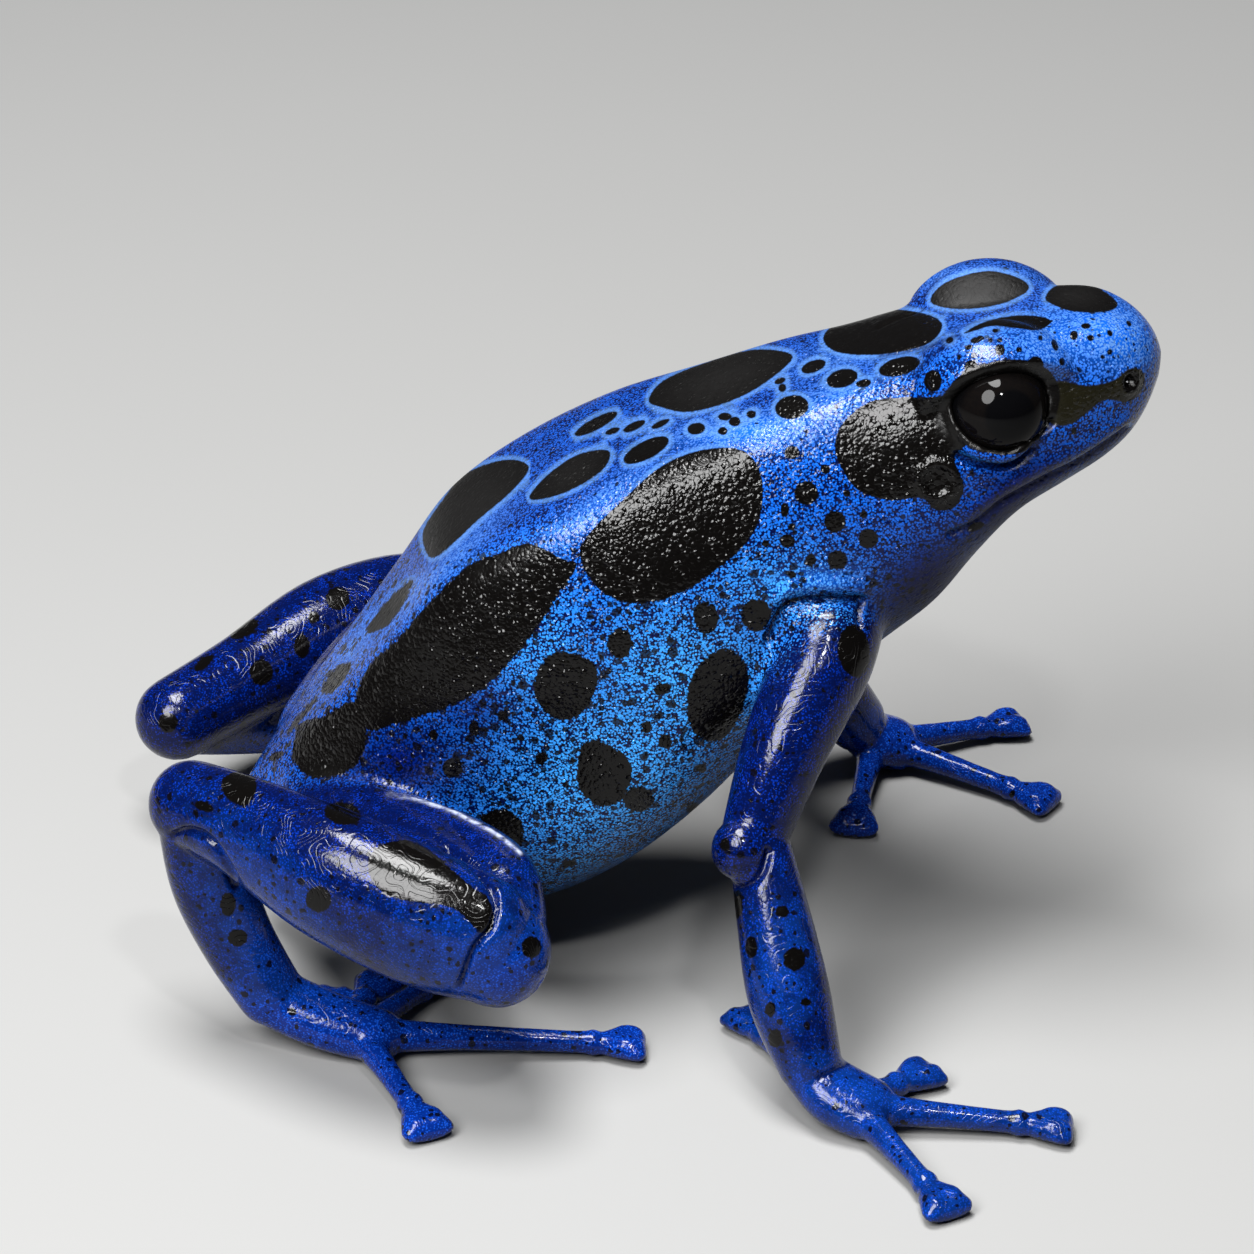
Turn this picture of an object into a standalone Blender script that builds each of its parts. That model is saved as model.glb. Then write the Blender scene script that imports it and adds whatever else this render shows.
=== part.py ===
"""Blue poison dart frog, a still model at life size.

The frog sits propped up on straight arms, with its hind legs folded beside it.
It faces +X, its right side is -Y, and the floor under its feet is z = 0.
Sizes below are in millimetres, and MM turns them into metres.
The body is lofted through ribs, each limb through a spine of joints with radii.
Each piece is trimmed back from the piece that it grows from by a gap of 0.3 mm.
"""

import math
from collections import namedtuple

import bmesh
import bpy
from mathutils import Vector

MM = 0.001
GAP = 0.3

# Where the middle of the frog's box lies in the pose's own sizes, so the origin comes out under it
BOX_MIDDLE_X = 0.315
BOX_MIDDLE_Y = -0.163

# Body
# A rib stands in the frog's middle plane: its top and bottom points, its half width,
# how far up it is widest, how square its upper half is, and how far its side ridge stands out.
Rib = namedtuple("Rib", "top_x top_z bottom_x bottom_z half waist square ridge")
TRUNK_RIBS = (
    Rib(-16.5, 6.5, -16.3, 5.5, 0.5, 0.50, 2.0, 0.00),
    Rib(-15.4, 8.3, -14.8, 4.0, 2.3, 0.50, 2.2, 0.00),
    Rib(-13.6, 10.8, -12.2, 2.9, 4.2, 0.48, 2.5, 0.15),
    Rib(-11.5, 13.4, -9.2, 2.2, 5.5, 0.45, 2.8, 0.35),
    Rib(-9.5, 16.2, -6.0, 2.1, 6.5, 0.42, 2.9, 0.50),
    Rib(-7.4, 19.1, -2.8, 2.8, 7.2, 0.40, 3.0, 0.60),
    Rib(-4.3, 21.5, 0.3, 4.6, 7.6, 0.38, 3.0, 0.60),
    Rib(-0.7, 23.5, 3.2, 7.2, 7.5, 0.38, 3.0, 0.50),
    Rib(2.9, 24.9, 5.9, 10.2, 7.0, 0.40, 2.9, 0.45),
    Rib(6.4, 26.3, 8.3, 13.1, 6.3, 0.42, 2.8, 0.40),
    Rib(9.0, 27.2, 10.3, 15.4, 5.9, 0.42, 2.7, 0.30),
)
HEAD_RIBS = (
    Rib(9.0, 27.2, 10.3, 15.4, 5.9, 0.42, 2.7, 0.30),
    Rib(11.2, 28.1, 12.3, 17.3, 5.8, 0.42, 2.6, 0.15),
    Rib(13.3, 28.7, 14.2, 19.3, 5.6, 0.40, 2.4, 0.10),
    Rib(15.4, 29.1, 16.0, 20.9, 5.1, 0.38, 2.3, 0.10),
    Rib(17.3, 29.3, 17.8, 22.0, 4.4, 0.40, 2.5, 0.20),
    Rib(19.1, 29.4, 19.4, 22.9, 3.6, 0.44, 2.6, 0.20),
    Rib(20.6, 29.0, 20.6, 23.8, 2.7, 0.48, 2.5, 0.10),
    Rib(21.6, 28.3, 21.4, 24.9, 1.8, 0.50, 2.2, 0.00),
    Rib(22.1, 27.4, 22.0, 26.3, 0.7, 0.50, 2.0, 0.00),
)
BODY_SIDES = 26
TRUNK_RINGS = 20
HEAD_RINGS = 16
RIDGE_ANGLE = 62
RIDGE_SPREAD = 14

# Head features of the right side, mirrored to the left
EYE_CENTRE = (14.95, -3.65, 26.6)
EYE_AXIS = (0.22, -0.95, 0.22)
EYE_RADIUS = 2.1
EYE_GAP = 0.25
BROW_CENTRE = (14.8, -3.5, 26.7)
BROW_RADII = (3.4, 2.8, 3.05)
LID_REACH = 0.7
EARDRUM_CENTRE = (12.75, -5.5, 23.7)
EARDRUM_RADIUS = 1.0
EARDRUM_THICKNESS = 0.3
NOSTRIL_CENTRE = (20.75, -2.0, 27.0)
NOSTRIL_RADIUS = 0.35
MOUTH_RADIUS = 0.25
MOUTH_CORNER_TO_CHIN = (
    (13.0, -5.6, 21.5),
    (14.9, -5.3, 22.2),
    (16.6, -4.7, 23.0),
    (18.6, -3.6, 23.7),
    (20.4, -2.0, 24.3),
    (21.4, 0.0, 24.6),
)

# Limbs
# A joint on a spine: its place, and the half thickness of the limb sideways and upwards.
Joint = namedtuple("Joint", "x y z side up")
UPPER_ARM_R = (
    Joint(8.9, -4.4, 18.4, 2.3, 2.2),
    Joint(7.9, -6.4, 16.5, 2.3, 2.2),
    Joint(6.3, -8.7, 13.5, 1.8, 1.8),
    Joint(5.0, -10.4, 10.4, 1.6, 1.6),
)
FOREARM_R = (
    Joint(5.1, -10.7, 10.1, 1.4, 1.4),
    Joint(5.8, -12.3, 7.4, 1.7, 1.7),
    Joint(6.6, -13.8, 4.8, 1.75, 1.7),
    Joint(7.4, -15.0, 2.5, 1.45, 1.35),
)
PALM_R = (
    Joint(7.6, -15.2, 2.0, 1.3, 1.1),
    Joint(8.5, -15.7, 1.4, 1.6, 1.15),
    Joint(9.8, -16.3, 1.0, 1.6, 1.1),
)
UPPER_ARM_L = (
    Joint(8.9, 4.4, 18.4, 2.3, 2.2),
    Joint(8.0, 6.5, 16.5, 2.3, 2.2),
    Joint(6.6, 8.8, 13.4, 1.8, 1.8),
    Joint(5.5, 10.6, 10.4, 1.6, 1.6),
)
FOREARM_L = (
    Joint(5.6, 10.8, 10.1, 1.4, 1.4),
    Joint(7.0, 12.1, 7.4, 1.65, 1.65),
    Joint(8.6, 13.1, 4.8, 1.75, 1.7),
    Joint(10.2, 13.8, 2.5, 1.55, 1.35),
)
PALM_L = (
    Joint(10.4, 13.9, 2.1, 1.3, 1.1),
    Joint(11.0, 14.1, 1.4, 1.6, 1.15),
    Joint(12.0, 14.3, 1.0, 1.6, 1.1),
)
THIGH_R = (
    Joint(-12.4, -2.4, 7.9, 2.6, 2.6),
    Joint(-10.6, -6.0, 8.1, 2.8, 2.9),
    Joint(-8.4, -9.8, 8.2, 2.8, 3.0),
    Joint(-6.5, -13.0, 8.1, 2.5, 2.7),
    Joint(-5.2, -15.3, 7.9, 2.2, 2.35),
)
SHANK_R = (
    Joint(-6.0, -15.1, 8.0, 1.75, 1.85),
    Joint(-8.4, -14.6, 8.8, 2.5, 2.6),
    Joint(-11.9, -12.8, 10.0, 2.5, 2.7),
    Joint(-15.2, -10.5, 10.7, 2.0, 2.2),
    Joint(-17.8, -8.5, 10.8, 1.8, 1.85),
)
TARSUS_R = (
    Joint(-17.7, -8.6, 10.2, 1.55, 1.55),
    Joint(-17.1, -8.8, 7.4, 1.7, 1.7),
    Joint(-16.1, -9.0, 4.7, 1.6, 1.55),
    Joint(-14.8, -9.4, 2.4, 1.5, 1.4),
)
SOLE_R = (
    Joint(-14.3, -9.5, 2.0, 1.35, 1.2),
    Joint(-12.4, -10.1, 1.4, 1.4, 1.15),
    Joint(-10.3, -10.6, 1.0, 1.3, 1.1),
)
THIGH_L = (
    Joint(-12.4, 2.4, 7.9, 2.6, 2.6),
    Joint(-10.9, 6.2, 8.0, 2.8, 2.9),
    Joint(-9.2, 10.4, 7.8, 2.8, 2.9),
    Joint(-7.5, 14.2, 7.2, 2.5, 2.6),
    Joint(-6.4, 16.9, 6.6, 2.2, 2.3),
)
SHANK_L = (
    Joint(-7.2, 16.6, 6.6, 1.75, 1.8),
    Joint(-9.6, 16.1, 6.9, 2.45, 2.5),
    Joint(-13.2, 14.3, 6.7, 2.4, 2.5),
    Joint(-16.8, 11.4, 5.9, 1.95, 2.0),
    Joint(-19.7, 8.8, 5.3, 1.85, 1.85),
)
TARSUS_L = (
    Joint(-19.3, 9.3, 4.9, 1.5, 1.5),
    Joint(-18.0, 11.3, 3.9, 1.65, 1.6),
    Joint(-16.4, 13.0, 2.9, 1.55, 1.5),
    Joint(-14.9, 14.3, 2.2, 1.45, 1.4),
)
SOLE_L = (
    Joint(-14.5, 14.7, 2.0, 1.3, 1.15),
    Joint(-12.7, 15.6, 1.4, 1.4, 1.15),
    Joint(-10.7, 16.5, 1.0, 1.3, 1.1),
)
LIMB_SIDES = 12
LIMB_RINGS = 7
CAP_ANGLES = (68, 34)

# Digits
# A digit runs from its root in the palm or sole to the tip of its disc, on the floor.
Digit = namedtuple("Digit", "root_x root_y tip_x tip_y")
FINGERS_R = (
    Digit(8.1, -15.3, 4.7, -7.9),
    Digit(9.2, -15.8, 12.6, -12.4),
    Digit(9.9, -16.3, 18.1, -16.9),
    Digit(9.5, -16.7, 12.9, -23.2),
)
FINGERS_L = (
    Digit(11.0, 13.7, 9.9, 7.2),
    Digit(11.9, 14.0, 18.9, 9.6),
    Digit(12.0, 14.4, 18.0, 17.2),
    Digit(11.2, 14.7, 9.4, 21.0),
)
TOES_R = (
    Digit(-12.9, -9.9, -12.2, -6.4),
    Digit(-11.9, -10.0, -10.3, -5.2),
    Digit(-10.9, -10.2, -7.5, -4.6),
    Digit(-10.2, -10.6, 0.8, -10.5),
    Digit(-10.9, -10.8, -7.9, -17.4),
)
TOES_L = (
    Digit(-13.2, 15.0, -11.9, 11.7),
    Digit(-12.2, 15.5, -9.4, 11.2),
    Digit(-11.2, 16.1, -5.6, 12.7),
    Digit(-10.6, 16.5, -0.4, 19.0),
    Digit(-11.3, 16.6, -9.2, 23.0),
)
DIGIT_SIDES = 8
DIGIT_ROOT_Z = 1.0
DIGIT_MIDDLE_Z = 0.85
DIGIT_ROOT_RADIUS = 0.72
DIGIT_SHAFT_RADIUS = 0.58
DISC_LENGTH = 1.9
DISC_NECK = 0.62
DISC_HALF_WIDTH = 1.15
DISC_HALF_HEIGHT = 0.55
DISC_REST_Z = 0.44
SCUTE_GROOVE = 0.25

SKIN_BLUE = (0.012, 0.055, 0.55, 1.0)
LIMB_BLUE = (0.012, 0.022, 0.35, 1.0)
EYE_BLACK = (0.004, 0.004, 0.005, 1.0)
EYE_SEGMENTS = 20
EYE_BANDS = 12


def clear_scene():
    for obj in list(bpy.data.objects):
        bpy.data.objects.remove(obj)


def material(name, colour, roughness):
    """A Principled material of one colour."""
    made = bpy.data.materials.new(name)
    made.use_nodes = True
    shader = made.node_tree.nodes["Principled BSDF"]
    shader.inputs["Base Color"].default_value = colour
    shader.inputs["Roughness"].default_value = roughness
    shader.inputs["Metallic"].default_value = 0.0
    return made


def new_collection(name):
    made = bpy.data.collections.new(name)
    bpy.context.scene.collection.children.link(made)
    return made


def smooth_rows(rows, count):
    """Rows of sizes read at count even steps along a smooth curve through the given rows."""
    read = []
    last = len(rows) - 1
    for step in range(count):
        place = step * last / (count - 1)
        i = min(int(place), last - 1)
        t = place - i
        before, here = rows[max(i - 1, 0)], rows[i]
        after, beyond = rows[i + 1], rows[min(i + 2, last)]
        read.append(
            [
                0.5 * (2 * q + (r - p) * t + (2 * p - 5 * q + 4 * r - s) * t**2 + (3 * q - p - 3 * r + s) * t**3)
                for p, q, r, s in zip(before, here, after, beyond)
            ]
        )
    return read


def loft(name, rings):
    """A closed mesh object through rings of points in millimetres, with a face over each end."""
    mesh = bpy.data.meshes.new(name)
    shape = bmesh.new()
    loops = [[shape.verts.new(Vector(point) * MM) for point in ring] for ring in rings]
    for near, far in zip(loops, loops[1:]):
        for i in range(len(near)):
            j = (i + 1) % len(near)
            shape.faces.new((near[i], near[j], far[j], far[i]))
    shape.faces.new(loops[0][::-1])
    shape.faces.new(loops[-1])
    bmesh.ops.recalc_face_normals(shape, faces=shape.faces)
    shape.to_mesh(mesh)
    shape.free()
    made = bpy.data.objects.new(name, mesh)
    bpy.context.scene.collection.objects.link(made)
    return made


def body_ring(rib, grow):
    """One section of the trunk or head: a rounded form with a ridge along each upper side."""
    top = Vector((rib.top_x, 0, rib.top_z))
    bottom = Vector((rib.bottom_x, 0, rib.bottom_z))
    upwards = (top - bottom).normalized()
    height = (top - bottom).length
    middle = bottom + upwards * height * rib.waist
    ring = []
    for i in range(BODY_SIDES):
        angle = math.tau * i / BODY_SIDES
        across, along = math.cos(angle), math.sin(angle)
        power = 2 / rib.square if along > 0 else 1.0
        reach = height * ((1 - rib.waist) if along > 0 else rib.waist)
        side = math.copysign(abs(across) ** power, across)
        lift = math.copysign(abs(along) ** power, along)
        off_ridge = abs(math.degrees(math.atan2(along, abs(across)))) if along > 0 else -90
        bump = rib.ridge * math.exp(-(((off_ridge - RIDGE_ANGLE) / RIDGE_SPREAD) ** 2))
        ring.append(
            middle
            + Vector((0, 1, 0)) * side * (rib.half + grow + bump)
            + upwards * lift * (reach + grow + bump)
        )
    return ring


def body_loft(name, ribs, ring_count, grow=0.0, start_gap=0.0):
    """The trunk or the head through its ribs. start_gap moves the first ring forward, off its neighbour."""
    rings = [body_ring(Rib(*row), grow) for row in smooth_rows(ribs, ring_count)]
    if start_gap:
        first, second = rings[0], rings[1]
        forward = (sum(second, Vector()) - sum(first, Vector())).normalized()
        rings[0] = [point + forward * start_gap for point in first]
    return loft(name, rings)


def limb_rings(joints, sides, ring_count, grow=0.0):
    """Oval rings along a spine, with rounded ends. The ovals turn with the spine and never twist."""
    rows = smooth_rows(joints, ring_count)
    places = [Vector(row[:3]) for row in rows]
    whole = (places[-1] - places[0]).normalized()
    hint = Vector((0, 0, 1)) if abs(whole.z) < 0.7 else Vector((1, 0, 0))
    across = whole.cross(hint).normalized()
    stations = []
    for i, row in enumerate(rows):
        along = (places[min(i + 1, ring_count - 1)] - places[max(i - 1, 0)]).normalized()
        across = (across - along * across.dot(along)).normalized()
        upwards = across.cross(along)
        stations.append((places[i], along, across, upwards, row[3] + grow, row[4] + grow))
    rings = [end_ring(stations[0], -1, angle, sides) for angle in CAP_ANGLES]
    rings += [oval(place, across, upwards, side, up, sides) for place, _, across, upwards, side, up in stations]
    rings += [end_ring(stations[-1], 1, angle, sides) for angle in CAP_ANGLES[::-1]]
    return rings


def end_ring(station, way, angle, sides):
    """A smaller ring past the end of a spine, which rounds the limb off."""
    place, along, across, upwards, side, up = station
    out = math.sin(math.radians(angle))
    small = math.cos(math.radians(angle))
    thin = min(side, up)
    return oval(place + along * way * thin * out, across, upwards, side * small, up * small, sides)


def oval(place, across, upwards, side, up, sides):
    return [
        place + across * side * math.cos(math.tau * i / sides) + upwards * up * math.sin(math.tau * i / sides)
        for i in range(sides)
    ]


def limb(name, joints, grow=0.0):
    return loft(name, limb_rings(joints, LIMB_SIDES, LIMB_RINGS, grow))


def digit(name, sizes, grow=0.0):
    """A finger or toe: a slender shaft that ends in a broad disc with a pair of scutes on top."""
    root = Vector((sizes.root_x, sizes.root_y, DIGIT_ROOT_Z))
    tip = Vector((sizes.tip_x, sizes.tip_y, DISC_REST_Z))
    reach = (tip - root).length
    along = (tip - root).normalized()
    neck = reach - DISC_LENGTH
    middle_lift = DIGIT_MIDDLE_Z - (DIGIT_ROOT_Z + DISC_REST_Z) / 2
    # How far along, half width, half height, groove depth and lift above the straight line
    stations = (
        (0.0, DIGIT_ROOT_RADIUS, DIGIT_ROOT_RADIUS, 0.0, 0.0),
        (neck * 0.4, DIGIT_SHAFT_RADIUS * 1.08, DIGIT_SHAFT_RADIUS * 1.08, 0.0, middle_lift * 0.9),
        (neck * 0.85, DIGIT_SHAFT_RADIUS, DIGIT_SHAFT_RADIUS, 0.0, middle_lift * 0.7),
        (neck + 0.1, DISC_NECK, DISC_NECK * 0.86, 0.0, 0.06),
        (neck + DISC_LENGTH * 0.35, DISC_HALF_WIDTH * 0.78, DISC_HALF_HEIGHT * 1.1, SCUTE_GROOVE * 0.8, 0.04),
        (neck + DISC_LENGTH * 0.78, DISC_HALF_WIDTH, DISC_HALF_HEIGHT, SCUTE_GROOVE, 0.0),
        (reach, DISC_HALF_WIDTH * 0.72, DISC_HALF_HEIGHT * 0.55, SCUTE_GROOVE * 0.3, 0.0),
    )
    across = along.cross(Vector((0, 0, 1))).normalized()
    upwards = across.cross(along)
    rings = []
    for far, half_width, half_height, groove, lift in stations:
        place = root + along * far + Vector((0, 0, lift))
        ring = oval(place, across, upwards, half_width + grow, half_height + grow, DIGIT_SIDES)
        crown = DIGIT_SIDES // 4
        ring[crown] = ring[crown] - upwards * groove
        rings.append(ring)
    return loft(name, rings)


def ball(name, centre, radii, segments=EYE_SEGMENTS, bands=EYE_BANDS):
    """A sphere or ellipsoid with its scale applied."""
    bpy.ops.mesh.primitive_uv_sphere_add(segments=segments, ring_count=bands, radius=1)
    made = bpy.context.object
    made.name = name
    for vertex in made.data.vertices:
        vertex.co = Vector([vertex.co[k] * radii[k] + centre[k] for k in range(3)]) * MM
    return made


def apply_boolean(obj, other, operation, solver="EXACT"):
    """Joins or cuts obj with other, and removes other."""
    modifier = obj.modifiers.new(operation.lower(), "BOOLEAN")
    modifier.operation = operation
    modifier.solver = solver
    modifier.object = other
    graph = bpy.context.evaluated_depsgraph_get()
    result = bpy.data.meshes.new_from_object(obj.evaluated_get(graph))
    obj.modifiers.clear()
    obj.data = result
    bpy.data.objects.remove(other)
    return obj


def keep_largest(obj):
    """Drops every closed surface of the object but the one with the most volume."""
    shape = bmesh.new()
    shape.from_mesh(obj.data)
    bmesh.ops.remove_doubles(shape, verts=shape.verts, dist=1e-7)
    islands = []
    unseen = set(shape.faces)
    while unseen:
        island = {unseen.pop()}
        edge_of = list(island)
        while edge_of:
            face = edge_of.pop()
            for edge in face.edges:
                for neighbour in edge.link_faces:
                    if neighbour in unseen:
                        unseen.discard(neighbour)
                        island.add(neighbour)
                        edge_of.append(neighbour)
        islands.append(island)
    islands.sort(key=lambda faces: -sum(face.calc_area() for face in faces))
    loose = [face for island in islands[1:] for face in island]
    bmesh.ops.delete(shape, geom=loose, context="FACES")
    bmesh.ops.delete(shape, geom=[v for v in shape.verts if not v.link_faces], context="VERTS")
    shape.to_mesh(obj.data)
    shape.free()
    return obj


def rest_on_floor(obj):
    """Cuts off what is under the floor, which leaves a small flat to stand on."""
    shape = bmesh.new()
    shape.from_mesh(obj.data)
    geometry = list(shape.verts) + list(shape.edges) + list(shape.faces)
    bmesh.ops.bisect_plane(
        shape, geom=geometry, plane_co=(0, 0, 0), plane_no=(0, 0, -1), clear_outer=True, dist=1e-7
    )
    rim = [edge for edge in shape.edges if edge.is_boundary]
    bmesh.ops.holes_fill(shape, edges=rim, sides=0)
    bmesh.ops.recalc_face_normals(shape, faces=shape.faces)
    shape.to_mesh(obj.data)
    shape.free()
    return obj


def finish_node(obj, collection, skin):
    """Gives a finished piece its material and shading, and centres the model on its origin."""
    keep_largest(obj)
    for vertex in obj.data.vertices:
        vertex.co.x -= BOX_MIDDLE_X * MM
        vertex.co.y -= BOX_MIDDLE_Y * MM
    obj.data.materials.clear()
    obj.data.materials.append(skin)
    for old in list(obj.users_collection):
        old.objects.unlink(obj)
    collection.objects.link(obj)
    obj.data.shade_smooth()
    obj.data.set_sharp_from_angle(angle=math.radians(50))


def mirrored(point):
    return (point[0], -point[1], point[2])


def on_surface(obj, point):
    """The nearest point of the object's surface to a point in millimetres."""
    found, place, normal, _ = obj.closest_point_on_mesh(Vector(point) * MM)
    return place / MM, normal


def eyelid(name, centre, axis):
    """The ring of brow and lids round an eye: a rounded form, cut off flat where the eye shows."""
    lid = ball(name, centre, BROW_RADII)
    shape = bmesh.new()
    shape.from_mesh(lid.data)
    geometry = list(shape.verts) + list(shape.edges) + list(shape.faces)
    rim_place = (Vector((EYE_CENTRE[0], math.copysign(EYE_CENTRE[1], centre[1]), EYE_CENTRE[2])) + axis * LID_REACH) * MM
    bmesh.ops.bisect_plane(
        shape, geom=geometry, plane_co=rim_place, plane_no=axis, clear_outer=True, dist=1e-7
    )
    rim = [edge for edge in shape.edges if edge.is_boundary]
    bmesh.ops.holes_fill(shape, edges=rim, sides=0)
    shape.to_mesh(lid.data)
    shape.free()
    return lid


def mouth_cutter(head):
    """A thin tube that lies along the head's surface and cuts the line of the mouth."""
    right = [on_surface(head, point)[0] for point in smooth_rows(MOUTH_CORNER_TO_CHIN, 13)]
    line = right + [Vector((p.x, -p.y, p.z)) for p in right[-2::-1]]
    curve = bpy.data.curves.new("mouth_line", "CURVE")
    curve.dimensions = "3D"
    curve.bevel_depth = MOUTH_RADIUS * MM
    curve.bevel_resolution = 1
    curve.use_fill_caps = True
    spline = curve.splines.new("POLY")
    spline.points.add(len(line) - 1)
    for point, place in zip(spline.points, line):
        point.co = (*(place * MM), 1)
    guide = bpy.data.objects.new("mouth_line", curve)
    bpy.context.scene.collection.objects.link(guide)
    graph = bpy.context.evaluated_depsgraph_get()
    mesh = bpy.data.meshes.new_from_object(guide.evaluated_get(graph))
    bpy.data.objects.remove(guide)
    shape = bmesh.new()
    shape.from_mesh(mesh)
    bmesh.ops.remove_doubles(shape, verts=shape.verts, dist=1e-7)
    bmesh.ops.recalc_face_normals(shape, faces=shape.faces)
    shape.to_mesh(mesh)
    shape.free()
    tube = bpy.data.objects.new("mouth_tube", mesh)
    bpy.context.scene.collection.objects.link(tube)
    return tube


def make_head():
    """The head with its brows, lids, eardrums, nostrils and mouth line, and a socket for each eye."""
    head = body_loft("head", HEAD_RIBS, HEAD_RINGS, start_gap=GAP)
    surface = body_loft("head_surface", HEAD_RIBS, HEAD_RINGS, start_gap=GAP)
    tube = mouth_cutter(surface)
    for side in ("R", "L"):
        place = (lambda point: point) if side == "R" else mirrored
        axis = Vector(place(EYE_AXIS)).normalized()
        apply_boolean(head, eyelid("lid_" + side, place(BROW_CENTRE), axis), "UNION")
        drum, _ = on_surface(surface, place(EARDRUM_CENTRE))
        disc = ball("drum_" + side, drum, (EARDRUM_RADIUS, EARDRUM_THICKNESS, EARDRUM_RADIUS), 14, 8)
        apply_boolean(head, disc, "UNION")
    for side in ("R", "L"):
        place = (lambda point: point) if side == "R" else mirrored
        socket = ball("socket_" + side, place(EYE_CENTRE), (EYE_RADIUS + EYE_GAP,) * 3)
        apply_boolean(head, socket, "DIFFERENCE")
        nostril, _ = on_surface(surface, place(NOSTRIL_CENTRE))
        pit = ball("pit_" + side, nostril, (NOSTRIL_RADIUS,) * 3, 8, 6)
        apply_boolean(head, pit, "DIFFERENCE")
    apply_boolean(head, tube, "DIFFERENCE")
    bpy.data.objects.remove(surface)
    return head


def trimmed(piece, makers):
    """Cuts a piece back from each of its neighbours, which are given as makers of their grown forms."""
    for maker in makers:
        apply_boolean(piece, maker(), "DIFFERENCE")
    return piece


def grown(maker, *sizes):
    """A maker of the same form, grown by the gap that a neighbour keeps from it."""
    return lambda: maker("grown", *sizes, grow=GAP)


def make_digits(prefix, side, digits, bases, collection, skin):
    """The fingers or toes of one hand or foot, each trimmed from the ones before it."""
    for number, sizes in enumerate(digits, 1):
        before = [grown(digit, other) for other in digits[: number - 1]]
        piece = trimmed(digit(f"{prefix}_{side}{number}", sizes), bases + before)
        finish_node(rest_on_floor(piece), collection, skin)


def make_arm(side, upper, fore, palm, fingers, collection, skin):
    body = grown(body_loft, TRUNK_RIBS + HEAD_RIBS[1:], TRUNK_RINGS + HEAD_RINGS)
    finish_node(trimmed(limb("upper_arm_" + side, upper), [body]), collection, skin)
    finish_node(trimmed(limb("forearm_" + side, fore), [grown(limb, upper)]), collection, skin)
    hand = trimmed(limb("palm_" + side, palm), [grown(limb, fore)])
    finish_node(rest_on_floor(hand), collection, skin)
    make_digits("finger", side, fingers, [grown(limb, palm), grown(limb, fore)], collection, skin)


def make_leg(side, thigh, shank, tarsus, sole, toes, collection, skin):
    body = grown(body_loft, TRUNK_RIBS, TRUNK_RINGS)
    finish_node(trimmed(limb("thigh_" + side, thigh), [body]), collection, skin)
    finish_node(trimmed(limb("shank_" + side, shank), [grown(limb, thigh), body]), collection, skin)
    finish_node(trimmed(limb("tarsus_" + side, tarsus), [grown(limb, shank)]), collection, skin)
    foot = trimmed(limb("sole_" + side, sole), [grown(limb, tarsus)])
    finish_node(rest_on_floor(foot), collection, skin)
    make_digits("toe", side, toes, [grown(limb, sole), grown(limb, tarsus)], collection, skin)


def main():
    clear_scene()
    frog = new_collection("poison_dart_frog")
    skin = material("skin_blue", SKIN_BLUE, 0.35)
    limbs = material("limb_blue", LIMB_BLUE, 0.3)
    black = material("eye_black", EYE_BLACK, 0.05)
    finish_node(body_loft("trunk", TRUNK_RIBS, TRUNK_RINGS), frog, skin)
    finish_node(make_head(), frog, skin)
    finish_node(ball("eye_R", EYE_CENTRE, (EYE_RADIUS,) * 3), frog, black)
    finish_node(ball("eye_L", mirrored(EYE_CENTRE), (EYE_RADIUS,) * 3), frog, black)
    make_arm("R", UPPER_ARM_R, FOREARM_R, PALM_R, FINGERS_R, frog, limbs)
    make_arm("L", UPPER_ARM_L, FOREARM_L, PALM_L, FINGERS_L, frog, limbs)
    make_leg("R", THIGH_R, SHANK_R, TARSUS_R, SOLE_R, TOES_R, frog, limbs)
    make_leg("L", THIGH_L, SHANK_L, TARSUS_L, SOLE_L, TOES_L, frog, limbs)


main()
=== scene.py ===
"""Blue poison dart frog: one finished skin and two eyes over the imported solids, on a pale floor.

The forms are shaped in the frog's own pose, in millimetres: it faces +X, its right side is -Y,
and the floor is z = 0. The last step of each piece moves it to the frame of the solids, in metres.
"""

import math
from collections import namedtuple
from functools import partial

import bmesh
import bpy
import numpy as np
from mathutils import Matrix, Vector
from mathutils.bvhtree import BVHTree


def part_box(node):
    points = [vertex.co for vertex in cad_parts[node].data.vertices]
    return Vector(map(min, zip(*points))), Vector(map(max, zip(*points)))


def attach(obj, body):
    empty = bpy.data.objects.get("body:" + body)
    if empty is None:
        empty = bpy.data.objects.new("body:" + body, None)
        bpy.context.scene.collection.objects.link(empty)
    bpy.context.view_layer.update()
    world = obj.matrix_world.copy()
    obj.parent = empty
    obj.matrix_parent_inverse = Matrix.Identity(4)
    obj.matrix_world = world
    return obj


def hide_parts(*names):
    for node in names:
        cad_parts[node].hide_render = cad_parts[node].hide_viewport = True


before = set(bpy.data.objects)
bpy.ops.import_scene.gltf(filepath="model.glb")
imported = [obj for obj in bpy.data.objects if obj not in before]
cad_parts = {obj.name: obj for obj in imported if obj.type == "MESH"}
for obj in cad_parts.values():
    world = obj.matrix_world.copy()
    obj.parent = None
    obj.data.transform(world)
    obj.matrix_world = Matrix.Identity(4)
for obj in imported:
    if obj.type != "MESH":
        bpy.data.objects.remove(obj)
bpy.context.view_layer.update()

bl_info = {
    "name": "Blue poison dart frog",
    "version": (1, 0, 0),
    "blender": (4, 5, 0),
    "location": "3D View > Sidebar > Frog",
    "description": "Makes the skin, the eyes and the floor of a blue poison dart frog",
    "category": "Object",
}

MM = 0.001

# The eye's place in the frog's own pose, which ties the pose to the solids
EYE_CENTRE = (14.95, -3.65, 26.6)
EYE_AXIS = (0.22, -0.95, 0.22)
EYE_RADIUS = 2.1
POSE_ORIGIN = sum(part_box("eye_R"), Vector()) / 2 - Vector(EYE_CENTRE) * MM

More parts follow.
